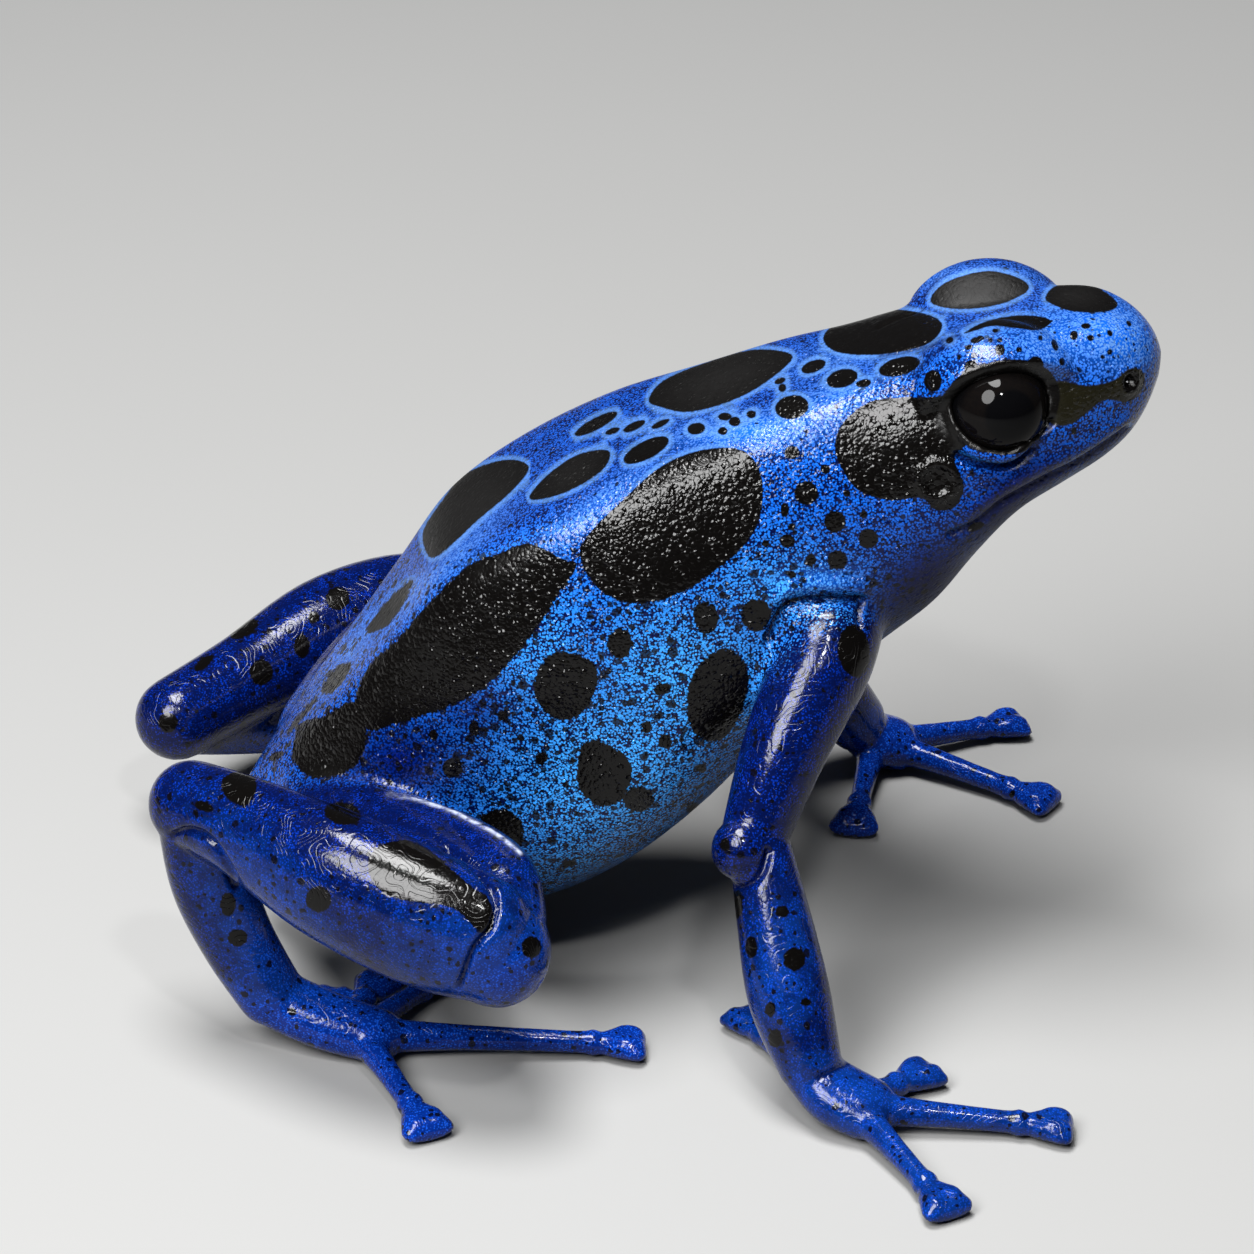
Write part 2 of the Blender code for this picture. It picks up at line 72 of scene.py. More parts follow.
# The camera, in the pose: it looks at AIM from this far off and this far above the horizon. The
# picture is this many pixels wide, and a millimetre at AIM takes this many of them.
AIM = (0.0, 0.0, 14.5)
CAMERA_DISTANCE = 260.0
CAMERA_TILT = math.radians(28.0)
PICTURE_PIXELS = 1254
PIXELS_PER_MM = 23.9
PICTURE_WIDTH = PICTURE_PIXELS / PIXELS_PER_MM
SENSOR_WIDTH = 36

# The lights, in the pose: width, length and place of each, and the point that all look at
LIGHT_AIM = (0, 0, 12)
Light = namedtuple("Light", "name width length place")
KEY_LIGHT = Light("key", 150, 100, (-30, -15, 269))
SIDE_LIGHT = Light("side", 172, 190, (-130, -190, 245))
SPARK_LIGHT = Light("spark", 24, 24, (37, -183, 267))
FLOOR_ROUGHNESS = 0.7

# A rib of the body: its top and bottom points, its half width, how far up it is widest,
# how square its upper half is, and how far its side ridge stands out
Rib = namedtuple("Rib", "top_x top_z bottom_x bottom_z half waist square ridge")
BODY_RIBS = (
    Rib(-16.5, 6.5, -16.3, 5.5, 0.5, 0.50, 2.0, 0.00),
    Rib(-15.4, 8.3, -14.8, 4.0, 2.3, 0.50, 2.2, 0.00),
    Rib(-13.6, 10.8, -12.2, 2.9, 4.2, 0.48, 2.5, 0.15),
    Rib(-11.5, 13.4, -9.2, 2.2, 5.5, 0.45, 2.8, 0.35),
    Rib(-9.5, 16.2, -6.0, 2.1, 6.3, 0.42, 2.9, 0.50),
    Rib(-7.4, 19.1, -2.8, 2.8, 7.0, 0.40, 3.0, 0.60),
    Rib(-4.3, 21.5, 0.3, 4.6, 7.45, 0.38, 3.0, 0.60),
    Rib(-0.7, 23.5, 3.2, 7.2, 7.5, 0.38, 3.0, 0.50),
    Rib(2.9, 24.9, 5.9, 10.2, 7.0, 0.40, 2.9, 0.45),
    Rib(6.4, 26.3, 8.5, 12.9, 6.3, 0.42, 2.8, 0.40),
    Rib(9.0, 27.2, 10.8, 14.9, 5.9, 0.42, 2.7, 0.30),
    Rib(11.2, 28.1, 12.8, 16.7, 5.8, 0.42, 2.6, 0.15),
    Rib(13.3, 28.7, 14.4, 19.0, 5.6, 0.40, 2.4, 0.10),
    Rib(15.4, 29.1, 16.0, 20.9, 5.1, 0.38, 2.3, 0.10),
    Rib(17.3, 29.3, 17.8, 22.0, 4.4, 0.40, 2.5, 0.20),
    Rib(19.1, 29.4, 19.4, 22.9, 3.6, 0.44, 2.6, 0.20),
    Rib(20.5, 29.0, 20.5, 23.8, 2.7, 0.48, 2.5, 0.10),
    Rib(21.4, 28.3, 21.2, 24.9, 1.8, 0.50, 2.2, 0.00),
    Rib(21.85, 27.4, 21.75, 26.3, 0.7, 0.50, 2.0, 0.00),
)
# Points round a section and number of sections, and the ridge's place and width in degrees
BODY_SIDES = 64
BODY_RINGS = 84
RIDGE_ANGLE = 62
RIDGE_SPREAD = 14

# The brow over the right eye: an ellipsoid, and the flat cut over the eye, which is this far out
# from the middle of the eye and tilted this much from the way that it looks
BROW_CENTRE = (14.95, -2.95, 26.45)
BROW_RADII = (3.75, 3.0, 3.4)
BROW_REACH = 0.25
BROW_TILT = math.radians(36)
# The room for an eyeball is this much smaller than the eyeball, so that no gap shows
SOCKET_EASE = 0.03
# How often a cut is tried, how far the cutter is turned each time, and the least share of its size
# that a form keeps in a cut, and the whole skin when it is made one surface
CUT_TRIES = 12
CUTTER_TURN = math.radians(1.7)
CUT_KEEPS = 0.7
SKIN_KEEPS = 0.97
# The lids: the middle of their skin off the eyeball, half its thickness, how far round they reach,
# the half sizes of the middle of their edge, and how far that is above the middle of the eye
LID_MIDDLE = 0.135
LID_HALF_SKIN = 0.165
LID_BACK = math.radians(115)
OPENING_ACROSS = 2.10
OPENING_UP = 1.76
OPENING_RISE = 0.22
# The ring that the lids are shaped from: its thickness where its radius is 1
LID_RING = 0.25
EARDRUM_CENTRE = (12.52, -5.9, 24.2)
EARDRUM_RADIUS = 0.78
NOSTRIL_CENTRE = (20.45, -2.85, 27.25)
NOSTRIL_RADIUS = 0.33
# A black rim shows this far round a nostril; the pit inside is painted black as painted shade
NOSTRIL_RIM = 0.16
# How the skin stands in or out by the distance from the middle: share of the radius, height
EARDRUM_PROFILE = (
    (0.0, -0.04), (0.65, -0.11), (0.85, 0.02), (1.0, 0.14), (1.2, 0.07), (1.5, -0.05), (2.0, 0.0),
)
NOSTRIL_PROFILE = ((0.0, -0.55), (0.5, -0.45), (1.0, 0.02), (1.4, 0.12), (2.4, 0.0))

# The joints on each limb's spine: place, and half thickness sideways and upwards
LIMBS = {
    "upper_arm_R": (
        (9.0, -3.9, 17.9, 1.9, 1.8), (8.0, -6.3, 16.3, 2.15, 2.05), (6.4, -8.7, 13.5, 1.75, 1.75),
        (5.2, -10.4, 10.5, 1.4, 1.4),
    ),
    "forearm_R": (
        (5.4, -10.7, 10.1, 1.25, 1.25), (6.0, -12.3, 7.4, 1.55, 1.55), (6.6, -13.8, 4.8, 1.75, 1.7),
        (7.4, -15.0, 2.5, 1.45, 1.35),
    ),
    "palm_R": (
        (7.6, -15.2, 2.0, 1.3, 1.1), (8.5, -15.7, 1.4, 1.6, 1.15), (9.8, -16.3, 1.0, 1.6, 1.1),
    ),
    "upper_arm_L": (
        (9.0, 3.9, 17.9, 1.9, 1.8), (8.1, 6.4, 16.3, 2.15, 2.05), (6.6, 8.8, 13.4, 1.8, 1.8),
        (5.5, 10.6, 10.4, 1.6, 1.6),
    ),
    "forearm_L": (
        (5.6, 10.8, 10.1, 1.4, 1.4), (7.0, 12.1, 7.4, 1.65, 1.65), (8.6, 13.1, 4.8, 1.75, 1.7),
        (10.2, 13.8, 2.5, 1.55, 1.35),
    ),
    "palm_L": (
        (10.4, 13.9, 2.1, 1.3, 1.1), (11.0, 14.1, 1.4, 1.6, 1.15), (12.0, 14.3, 1.0, 1.6, 1.1),
    ),
    "thigh_R": (
        (-12.4, -2.4, 7.6, 2.4, 2.4), (-10.6, -6.0, 7.7, 2.6, 2.5), (-8.4, -9.8, 8.0, 2.75, 2.8),
        (-6.5, -13.0, 8.1, 2.5, 2.7), (-5.2, -15.3, 7.9, 2.2, 2.35),
    ),
    "thigh_fold_R": (
        (-9.7, -6.6, 8.6, 1.5, 1.5), (-6.9, -9.6, 9.3, 1.5, 1.5), (-5.1, -12.4, 9.5, 1.5, 1.5),
        (-4.7, -14.4, 8.6, 1.5, 1.5),
    ),
    "shank_R": (
        (-5.95, -15.45, 8.6, 2.15, 2.8), (-8.3, -14.65, 9.1, 2.35, 3.0),
        (-11.9, -12.8, 10.0, 2.4, 2.85), (-15.2, -10.5, 10.7, 2.0, 2.2),
        (-17.8, -8.5, 10.8, 1.8, 1.85),
    ),
    "tarsus_R": (
        (-17.7, -8.6, 10.2, 1.55, 1.55), (-17.1, -8.8, 7.4, 1.7, 1.7),
        (-16.1, -9.0, 4.7, 1.6, 1.55), (-14.8, -9.4, 2.4, 1.5, 1.4),
    ),
    "sole_R": (
        (-14.3, -9.5, 2.0, 1.35, 1.2), (-12.4, -10.1, 1.4, 1.4, 1.15),
        (-10.3, -10.6, 1.0, 1.3, 1.1),
    ),
    "thigh_L": (
        (-12.4, 2.4, 7.9, 2.6, 2.6), (-10.9, 6.2, 8.0, 2.8, 2.9), (-9.2, 10.4, 7.8, 2.8, 2.9),
        (-7.5, 14.2, 7.2, 2.5, 2.6), (-6.4, 16.9, 6.6, 2.2, 2.3),
    ),
    "thigh_fold_L": (
        (-10.0, 6.9, 8.6, 1.5, 1.5), (-7.7, 10.2, 9.0, 1.5, 1.5), (-6.1, 13.6, 8.5, 1.5, 1.5),
        (-5.9, 16.0, 7.3, 1.5, 1.5),
    ),
    "shank_L": (
        (-7.2, 16.6, 6.6, 1.75, 1.8), (-9.6, 16.1, 6.9, 2.45, 2.5), (-13.2, 14.3, 6.7, 2.4, 2.5),
        (-16.8, 11.4, 5.9, 1.95, 2.0), (-19.7, 8.8, 5.3, 1.85, 1.85),
    ),
    "tarsus_L": (
        (-19.3, 9.3, 4.9, 1.5, 1.5), (-18.0, 11.3, 3.9, 1.65, 1.6), (-16.4, 13.0, 2.9, 1.55, 1.5),
        (-14.9, 14.3, 2.2, 1.45, 1.4),
    ),
    "sole_L": (
        (-14.5, 14.7, 2.0, 1.3, 1.15), (-12.7, 15.6, 1.4, 1.4, 1.15), (-10.7, 16.5, 1.0, 1.3, 1.1),
    ),
}
# Points round a section, number of sections, and how far round the rounded end its rings are
LIMB_SIDES = 32
LIMB_RINGS = 24
CAP_ANGLES = (80, 65, 50, 34, 17)
# How far off the trunk and head a limb's look begins, and where it is complete
LIMB_EDGE = (0.15, 0.95)

# A finger or toe runs from its root in the palm or sole to the tip of its disc, on the floor
Digit = namedtuple("Digit", "root_x root_y tip_x tip_y")
DIGITS = {
    "finger_R1": Digit(8.1, -15.3, 4.7, -7.9),
    "finger_R2": Digit(9.2, -15.8, 12.6, -12.4),
    "finger_R3": Digit(9.9, -16.3, 18.1, -16.9),
    "finger_R4": Digit(9.5, -16.7, 12.9, -23.2),
    "finger_L1": Digit(11.0, 13.7, 9.9, 7.2),
    "finger_L2": Digit(11.9, 14.0, 18.9, 9.6),
    "finger_L3": Digit(12.0, 14.4, 18.0, 17.2),
    "finger_L4": Digit(11.2, 14.7, 9.4, 21.0),
    "toe_R1": Digit(-12.9, -9.9, -12.2, -6.4),
    "toe_R2": Digit(-11.9, -10.0, -10.3, -5.2),
    "toe_R3": Digit(-10.9, -10.2, -7.5, -4.6),
    "toe_R4": Digit(-10.2, -10.6, 0.8, -10.5),
    "toe_R5": Digit(-10.9, -10.8, -7.9, -17.4),
    "toe_L1": Digit(-13.2, 15.0, -11.9, 11.7),
    "toe_L2": Digit(-12.2, 15.5, -9.4, 11.2),
    "toe_L3": Digit(-11.2, 16.1, -5.6, 12.7),
    "toe_L4": Digit(-10.6, 16.5, -0.4, 19.0),
    "toe_L5": Digit(-11.3, 16.6, -9.2, 23.0),
}
# Points round a section, number of sections, height of the root and of the disc, and its length
DIGIT_SIDES = 24
DIGIT_RINGS = 30
DIGIT_ROOT_Z = 1.0
DISC_REST_Z = 0.5
DISC_LENGTH = 1.9
# A station on a digit: its share of the way from the root to the disc, how far beyond that it is,
# its half width, its half height and how far it is above the straight line
Station = namedtuple("Station", "share beyond half_width half_height lift")
DIGIT_STATIONS = (
    Station(0.00, 0.00, 0.74, 0.74, 0.00),
    Station(0.30, 0.00, 0.56, 0.58, 0.05),
    Station(0.62, 0.00, 0.48, 0.50, 0.05),
    Station(1.00, -0.75, 0.47, 0.48, 0.02),
    Station(1.00, -0.32, 0.60, 0.58, 0.02),
    Station(1.00, 0.00, 0.52, 0.44, 0.00),
    Station(1.00, 0.35, 0.72, 0.50, 0.02),
    Station(1.00, 0.90, 0.96, 0.50, 0.02),
    Station(1.00, 1.40, 1.12, 0.47, 0.00),
    Station(1.00, 1.72, 1.10, 0.38, -0.04),
    Station(1.00, 1.90, 0.82, 0.18, -0.10),
)
# The two plates on a disc: how far past its start they are, how far aside and up, and their radii
SCUTE_PLACE = 1.12
SCUTE_ASIDE = 0.44
SCUTE_LIFT = 0.3
SCUTE_RADII = (0.66, 0.40, 0.30)

# The knob of the right elbow: its place and its radii
ELBOW_KNOB = ((4.65, -11.2, 10.25), (1.25, 1.25, 1.3))

# The thin fold over the thigh, and the width of its silver edge, partly a painted highlight
SILVER_FOLD = (
    (-10.0, -7.0), (-8.8, -7.2), (-7.4, -7.65), (-6.4, -8.15), (-5.45, -8.65), (-4.45, -9.45),
)
SILVER_HIGHLIGHT_WIDTH = 0.075
# A fold or, with a height below zero, a crease: height, width, the part that it lies on, and its
# points as the camera sees them, in millimetres across and up the picture from its middle
Line = namedtuple("Line", "height width where points")
SKIN_LINES = (
    Line(-0.44, 0.15, "body", (
        (13.8, 7.2), (14.4, 6.9), (15.2, 6.74), (16.0, 6.78), (16.9, 7.3), (17.3, 7.9), (17.8, 8.6),
    )),
    Line(0.20, 0.20, "body", ((14.3, 7.4), (15.2, 7.1), (16.0, 7.15), (16.8, 7.7), (17.2, 8.3))),
    Line(-0.26, 0.13, "body", (
        (20.9, 8.3), (19.8, 7.5), (18.7, 6.8), (17.7, 6.3), (16.4, 5.6), (15.7, 5.2), (14.6, 4.3),
        (13.5, 3.85),
    )),
    Line(0.12, 0.26, "body", (
        (20.9, 8.7), (19.7, 7.9), (18.5, 7.2), (17.4, 6.7), (16.1, 6.0), (15.3, 5.5), (14.3, 4.8),
    )),
    Line(-0.10, 0.09, "body", (
        (13.9, 12.2), (13.5, 12.1), (12.8, 11.8), (12.0, 11.6), (11.3, 11.45), (10.6, 11.35),
    )),
    Line(-0.14, 0.10, "body", ((11.9, 9.9), (12.2, 10.7), (12.7, 11.3), (13.3, 11.8))),
    Line(-0.42, 0.12, "limb", (
        (5.9, -0.6), (6.2, 0.2), (6.6, 0.85), (7.4, 1.12), (8.5, 1.2), (9.8, 1.16),
    )),
    Line(0.20, 0.30, "body", ((6.2, 1.2), (6.8, 1.6), (7.6, 1.75), (8.6, 1.75), (9.9, 1.65))),
    Line(0.22, 0.55, "limb", ((7.0, 0.2), (7.9, 0.35), (8.9, 0.35))),
    Line(-0.25, 0.12, "limb", ((9.85, 1.1), (9.7, 0.6), (9.8, 0.0))),
    Line(-0.12, 0.14, "limb", (
        (-12.6, -7.1), (-11.5, -7.7), (-9.3, -8.3), (-8.2, -8.75), (-7.5, -9.25),
    )),
    Line(-0.34, 0.13, "limb", (
        (-7.5, -9.25), (-6.8, -9.7), (-6.1, -10.3), (-5.65, -10.9), (-5.45, -11.6), (-5.55, -12.2),
        (-5.75, -12.7), (-6.15, -13.1), (-6.5, -13.6), (-6.75, -14.3), (-7.0, -15.0),
    )),
    Line(0.06, 0.09, "limb", SILVER_FOLD),
    Line(-0.28, 0.14, "limb", (
        (3.6, -10.4), (4.2, -10.85), (4.95, -10.85), (5.6, -10.3), (5.95, -9.4),
    )),
    Line(-0.32, 0.15, "limb", (
        (-19.0, -8.7), (-18.4, -8.5), (-17.6, -8.8), (-16.9, -9.7), (-16.3, -10.9),
    )),
    Line(-0.12, 0.10, "limb", ((8.0, -18.9), (9.0, -18.4), (9.9, -17.9))),
)


def smooth_rows(rows, count):
    """Rows of sizes read at even steps along a smooth curve through the given rows."""
    table = np.array(rows, float)
    last = len(table) - 1
    place = np.linspace(0, last, count)
    i = np.minimum(place.astype(int), last - 1)
    t = (place - i)[:, None]
    p, q = table[np.maximum(i - 1, 0)], table[i]
    r, s = table[i + 1], table[np.minimum(i + 2, last)]
    rise = (2 * p - 5 * q + 4 * r - s) * t**2
    turn = (3 * q - p - 3 * r + s) * t**3
    return 0.5 * (2 * q + (r - p) * t + rise + turn)


def loft(name, rings):
    """A closed form: a filled circle that is extruded from ring to ring."""
    bpy.ops.object.select_all(action="DESELECT")
    bpy.ops.mesh.primitive_circle_add(vertices=len(rings[0]), radius=1, fill_type="NGON")
    form = bpy.context.object
    form.name = name
    bpy.ops.object.mode_set(mode="EDIT")
    place_selected(form, rings[0])
    for ring in rings[1:]:
        bpy.ops.mesh.extrude_region_move()
        place_selected(form, ring)
    bpy.ops.mesh.select_all(action="SELECT")
    bpy.ops.mesh.normals_make_consistent(inside=False)
    bpy.ops.object.mode_set(mode="OBJECT")
    return form


def place_selected(form, ring):
    """Moves the selected ring of vertices, in their order, to the points of the ring."""
    shape = bmesh.from_edit_mesh(form.data)
    chosen = [vertex for vertex in shape.verts if vertex.select]
    for vertex, point in zip(chosen, ring):
        vertex.co = point
    bmesh.update_edit_mesh(form.data)


def body_ring(row):
    """One section of the body: a rounded form with a ridge along each upper side."""
    rib = Rib(*row)
    top = np.array((rib.top_x, 0, rib.top_z))
    bottom = np.array((rib.bottom_x, 0, rib.bottom_z))
    height = np.linalg.norm(top - bottom)
    upwards = (top - bottom) / height
    middle = bottom + upwards * height * rib.waist
    angle = np.arange(BODY_SIDES) * math.tau / BODY_SIDES
    across, along = np.cos(angle), np.sin(angle)
    upper = along > 0
    power = np.where(upper, 2 / rib.square, 1.0)
    reach = np.where(upper, height * (1 - rib.waist), height * rib.waist)
    side = np.sign(across) * np.abs(across) ** power
    lift = np.sign(along) * np.abs(along) ** power
    off_ridge = np.degrees(np.arctan2(along, np.abs(across))) - RIDGE_ANGLE
    bump = rib.ridge * np.exp(-((off_ridge / RIDGE_SPREAD) ** 2)) * upper
    sideways = (side * (rib.half + bump))[:, None] * np.array((0, 1, 0))
    return middle + sideways + (lift * (reach + bump))[:, None] * upwards


def oval(place, across, upwards, side, up, sides):
    """A ring of points, half as wide as side and half as high as up say."""
    angle = np.arange(sides)[:, None] * math.tau / sides
    return place + across * side * np.cos(angle) + upwards * up * np.sin(angle)


def unit(vector):
    """A vector's direction."""
    return np.asarray(vector, float) / np.linalg.norm(vector)


def limb_rings(joints):
    """Oval rings along a spine, with rounded ends. The ovals turn with it and never twist."""
    rows = smooth_rows(joints, LIMB_RINGS)
    places = rows[:, :3]
    whole = unit(places[-1] - places[0])
    hint = (0, 0, 1) if abs(whole[2]) < 0.7 else (1, 0, 0)
    across = unit(np.cross(whole, hint))
    stations = []
    for i, row in enumerate(rows):
        along = unit(places[min(i + 1, LIMB_RINGS - 1)] - places[max(i - 1, 0)])
        across = unit(across - along * across.dot(along))
        stations.append((places[i], along, across, np.cross(across, along), row[3], row[4]))
    rings = [cap_ring(stations[0], -1, angle) for angle in CAP_ANGLES]
    for place, _, across, upwards, side, up in stations:
        rings.append(oval(place, across, upwards, side, up, LIMB_SIDES))
    return rings + [cap_ring(stations[-1], 1, angle) for angle in CAP_ANGLES[::-1]]


def cap_ring(station, way, angle):
    """A smaller ring past the end of a spine, which rounds the limb off."""
    place, along, across, upwards, side, up = station
    out, small = math.sin(math.radians(angle)), math.cos(math.radians(angle))
    centre = place + along * way * min(side, up) * out
    return oval(centre, across, upwards, side * small, up * small, LIMB_SIDES)


def digit_line(digit):
    """The root, tip, length and directions of a finger or toe."""
    root = np.array((digit.root_x, digit.root_y, DIGIT_ROOT_Z))
    tip = np.array((digit.tip_x, digit.tip_y, DISC_REST_Z))
    along = unit(tip - root)
    across = unit(np.cross(along, (0, 0, 1)))
    return root, tip, np.linalg.norm(tip - root), along, across, np.cross(across, along)


def digit_rings(digit):
    """A slender shaft with a knuckle, that ends in a broad disc."""
    root, _, reach, along, across, upwards = digit_line(digit)
    neck = reach - DISC_LENGTH
    rows = [(s.share * neck + s.beyond, *s[2:]) for s in DIGIT_STATIONS]
    rings = []
    for far, half_width, half_height, lift in smooth_rows(rows, DIGIT_RINGS):
        place = root + along * far + np.array((0, 0, lift))
        rings.append(oval(place, across, upwards, half_width, half_height, DIGIT_SIDES))
    return rings


def ball(name, centre, radii, axes=None, segments=32, rings=20):
    """An ellipsoid, set along three directions."""
    bpy.ops.object.select_all(action="DESELECT")
    bpy.ops.mesh.primitive_uv_sphere_add(segments=segments, ring_count=rings, radius=1)
    form = bpy.context.object
    form.name = name
    axes = np.eye(3) if axes is None else np.array(axes)
    for vertex in form.data.vertices:
        vertex.co = Vector(centre) + Vector(np.array(vertex.co) * radii @ axes)
    recalculate(form)
    return form


def recalculate(form):
    """Turns all faces of a form outwards."""
    bpy.context.view_layer.objects.active = form
    bpy.ops.object.mode_set(mode="EDIT")
    bpy.ops.mesh.select_all(action="SELECT")
    bpy.ops.mesh.normals_make_consistent(inside=False)
    bpy.ops.object.mode_set(mode="OBJECT")


def eye_distance(points):
    """How far each point is from the middle of the nearer eye."""
    return np.minimum(*(np.linalg.norm(points - eye_frame(side)[0], axis=1) for side in "RL"))


def soften(form, points, limbs):
    """Rounds the places where the brows and limbs grow out of the body, but not the lids."""
    weights = (1 - limbs) * soft_step(eye_distance(points), EYE_RADIUS + 1.0, EYE_RADIUS + 2.0)
    group = form.vertex_groups.new(name="softened")
    levels = 10
    level = np.round(weights * levels).astype(int)
    for step in range(1, levels + 1):
        group.add(np.flatnonzero(level == step).tolist(), step / levels, "REPLACE")
    finish_modifier(form, "SMOOTH", factor=0.5, iterations=36, vertex_group="softened")


def join_forms(name, forms):
    """Joins forms into one object."""
    bpy.ops.object.select_all(action="DESELECT")
    for form in forms:
        form.select_set(True)
    bpy.context.view_layer.objects.active = forms[0]
    bpy.ops.object.join()
    forms[0].name = name
    return forms[0]


def finish_modifier(form, kind, **settings):
    """Adds a modifier and applies it."""
    bpy.context.view_layer.objects.active = form
    modifier = form.modifiers.new(kind.lower(), kind)
    for setting, value in settings.items():
        setattr(modifier, setting, value)
    bpy.ops.object.modifier_apply(modifier=modifier.name)


def is_whole(form, before):
    """Whether a form is closed, and still nearly as large as it was before a cut."""
    shape = bmesh.new()
    shape.from_mesh(form.data)
    closed = len(shape.faces) > 0 and all(edge.is_manifold for edge in shape.edges)
    shape.free()
    return closed and bool(np.all(np.ptp(read_mesh(form)[0], axis=0) > CUT_KEEPS * before))


def cut_with(form, cutter):
    """Takes the cutter's shape away. The cutter is turned a little after a cut that fails."""
    before = np.ptp(read_mesh(form)[0], axis=0)
    uncut = form.data.copy()
    centre = Vector(read_mesh(cutter)[0].mean(axis=0))
    turn = Matrix.Rotation(CUTTER_TURN, 4, EYE_AXIS)
    turn = Matrix.Translation(centre) @ turn @ Matrix.Translation(-centre)
    for _ in range(CUT_TRIES):
        finish_modifier(form, "BOOLEAN", operation="DIFFERENCE", solver="EXACT", object=cutter)
        if is_whole(form, before):
            break
        form.data = uncut.copy()
        cutter.data.transform(turn)
    else:
        raise RuntimeError("The cut through " + form.name + " leaves a gap")
    bpy.data.objects.remove(cutter)


def mirrored(point):
    """The same place on the other side of the body."""
    return (point[0], -point[1], point[2])


def eye_frame(side):
    """The centre of an eye, the way it looks, and two directions across it."""
    centre, axis = EYE_CENTRE, EYE_AXIS
    if side == "L":
        centre, axis = mirrored(centre), mirrored(axis)
    axis = unit(axis)
    across = unit(np.cross((0, 0, 1), axis))
    return np.array(centre), axis, across, np.cross(axis, across)


def make_brow(side):
    """The brow over an eye: a rounded form with a flat cut over the eye."""
    centre, axis, _, upwards = eye_frame(side)
    brow = ball("brow_" + side, BROW_CENTRE if side == "R" else mirrored(BROW_CENTRE), BROW_RADII)
    bpy.ops.object.mode_set(mode="EDIT")
    bpy.ops.mesh.select_all(action="SELECT")
    facing_out = axis * math.cos(BROW_TILT) - upwards * math.sin(BROW_TILT)
    bpy.ops.mesh.bisect(
        plane_co=centre + axis * BROW_REACH, plane_no=facing_out, use_fill=True, clear_outer=True
    )
    bpy.ops.object.mode_set(mode="OBJECT")
    return brow


def make_lid(side):
    """Both lids of an eye: one shell round the eyeball with an oval opening and rounded edges."""
    centre, axis, across, upwards = eye_frame(side)
    bpy.ops.object.select_all(action="DESELECT")
    bpy.ops.mesh.primitive_torus_add(
        major_radius=1, minor_radius=LID_RING, major_segments=96, minor_segments=32
    )
    lid = bpy.context.object
    lid.name = "lid_" + side
    for vertex in lid.data.vertices:
        x, y, z = vertex.co
        turn = math.atan2(y, x)
        rise = OPENING_UP * math.sin(turn) + OPENING_RISE
        aside = across * OPENING_ACROSS * math.cos(turn) + upwards * rise
        edge = math.asin(np.linalg.norm(aside) / (EYE_RADIUS + LID_MIDDLE))
        inwards, outwards = (math.hypot(x, y) - 1) / LID_RING, z / LID_RING
        back_share = 0.5 - 0.5 * math.copysign(abs(inwards) ** 0.5, inwards)
        angle = edge + (LID_BACK - edge) * back_share
        out_share = math.copysign(abs(outwards) ** 0.5, outwards)
        radius = EYE_RADIUS + LID_MIDDLE + LID_HALF_SKIN * out_share
        way = unit(aside) * math.sin(angle) + axis * math.cos(angle)
        vertex.co = Vector(centre + radius * way)
    recalculate(lid)
    return lid


def make_socket(side):
    """The room that an eyeball takes up."""
    radii = (EYE_RADIUS - SOCKET_EASE,) * 3
    return ball("socket_" + side, eye_frame(side)[0], radii, segments=64, rings=32)


def make_torso():
    """The trunk and head and the brows, hollowed for the eyes, and the lids, joined."""
    trunk = loft("trunk", [body_ring(row) for row in smooth_rows(BODY_RIBS, BODY_RINGS)])
    forms = [trunk]
    for side in "RL":
        cut_with(trunk, make_socket(side))
        brow = make_brow(side)
        cut_with(brow, make_socket(side))
        forms += [brow, make_lid(side)]
    return join_forms("torso", forms)


def make_limbs():
    """All limbs, fingers and toes as overlapping forms."""
    forms = [loft(name, limb_rings(joints)) for name, joints in LIMBS.items()]
    for name, digit in DIGITS.items():
        forms.append(loft(name, digit_rings(digit)))
        root, _, reach, along, across, upwards = digit_line(digit)
        for aside in (-SCUTE_ASIDE, SCUTE_ASIDE):
            on_disc = root + along * (reach - DISC_LENGTH + SCUTE_PLACE)
            place = on_disc + across * aside + upwards * SCUTE_LIFT
            forms.append(ball("scute", place, SCUTE_RADII, (along, across, upwards), 16, 10))
    forms.append(ball("knob", *ELBOW_KNOB))
    return forms


def picture_place(points, side=1):
    """Where points fall in the picture, in millimetres, and the way from each to the camera.

    With side -1, both are those that the mirror image of the points has.
    """
    back = np.array((0, -math.cos(CAMERA_TILT), math.sin(CAMERA_TILT)))
    up = np.array((0, math.sin(CAMERA_TILT), math.cos(CAMERA_TILT)))
    from_aim = (points - AIM) * (1, side, 1)
    depth = CAMERA_DISTANCE - from_aim @ back
    place = np.stack((from_aim[:, 0], from_aim @ up), 1) * (CAMERA_DISTANCE / depth)[:, None]
    towards = back * CAMERA_DISTANCE - from_aim
    return place, towards / np.linalg.norm(towards, axis=1)[:, None]


def facing(points, normals, side=1):
    """How squarely the camera sees the skin at each point: 1 square on, below zero turned away."""
    _, towards = picture_place(points, side)
    return np.sum(normals * (1, side, 1) * towards, axis=1)


def line_distance(places, line):
    """How far each place is from a line through the given points."""
    best = np.full(len(places), np.inf)
    line = np.asarray(line, float)
    for start, end in zip(line[:-1], line[1:]):
        run = end - start
        share = np.clip((places - start) @ run / (run @ run), 0, 1)
        best = np.minimum(best, np.linalg.norm(places - start - share[:, None] * run, axis=1))
    return best


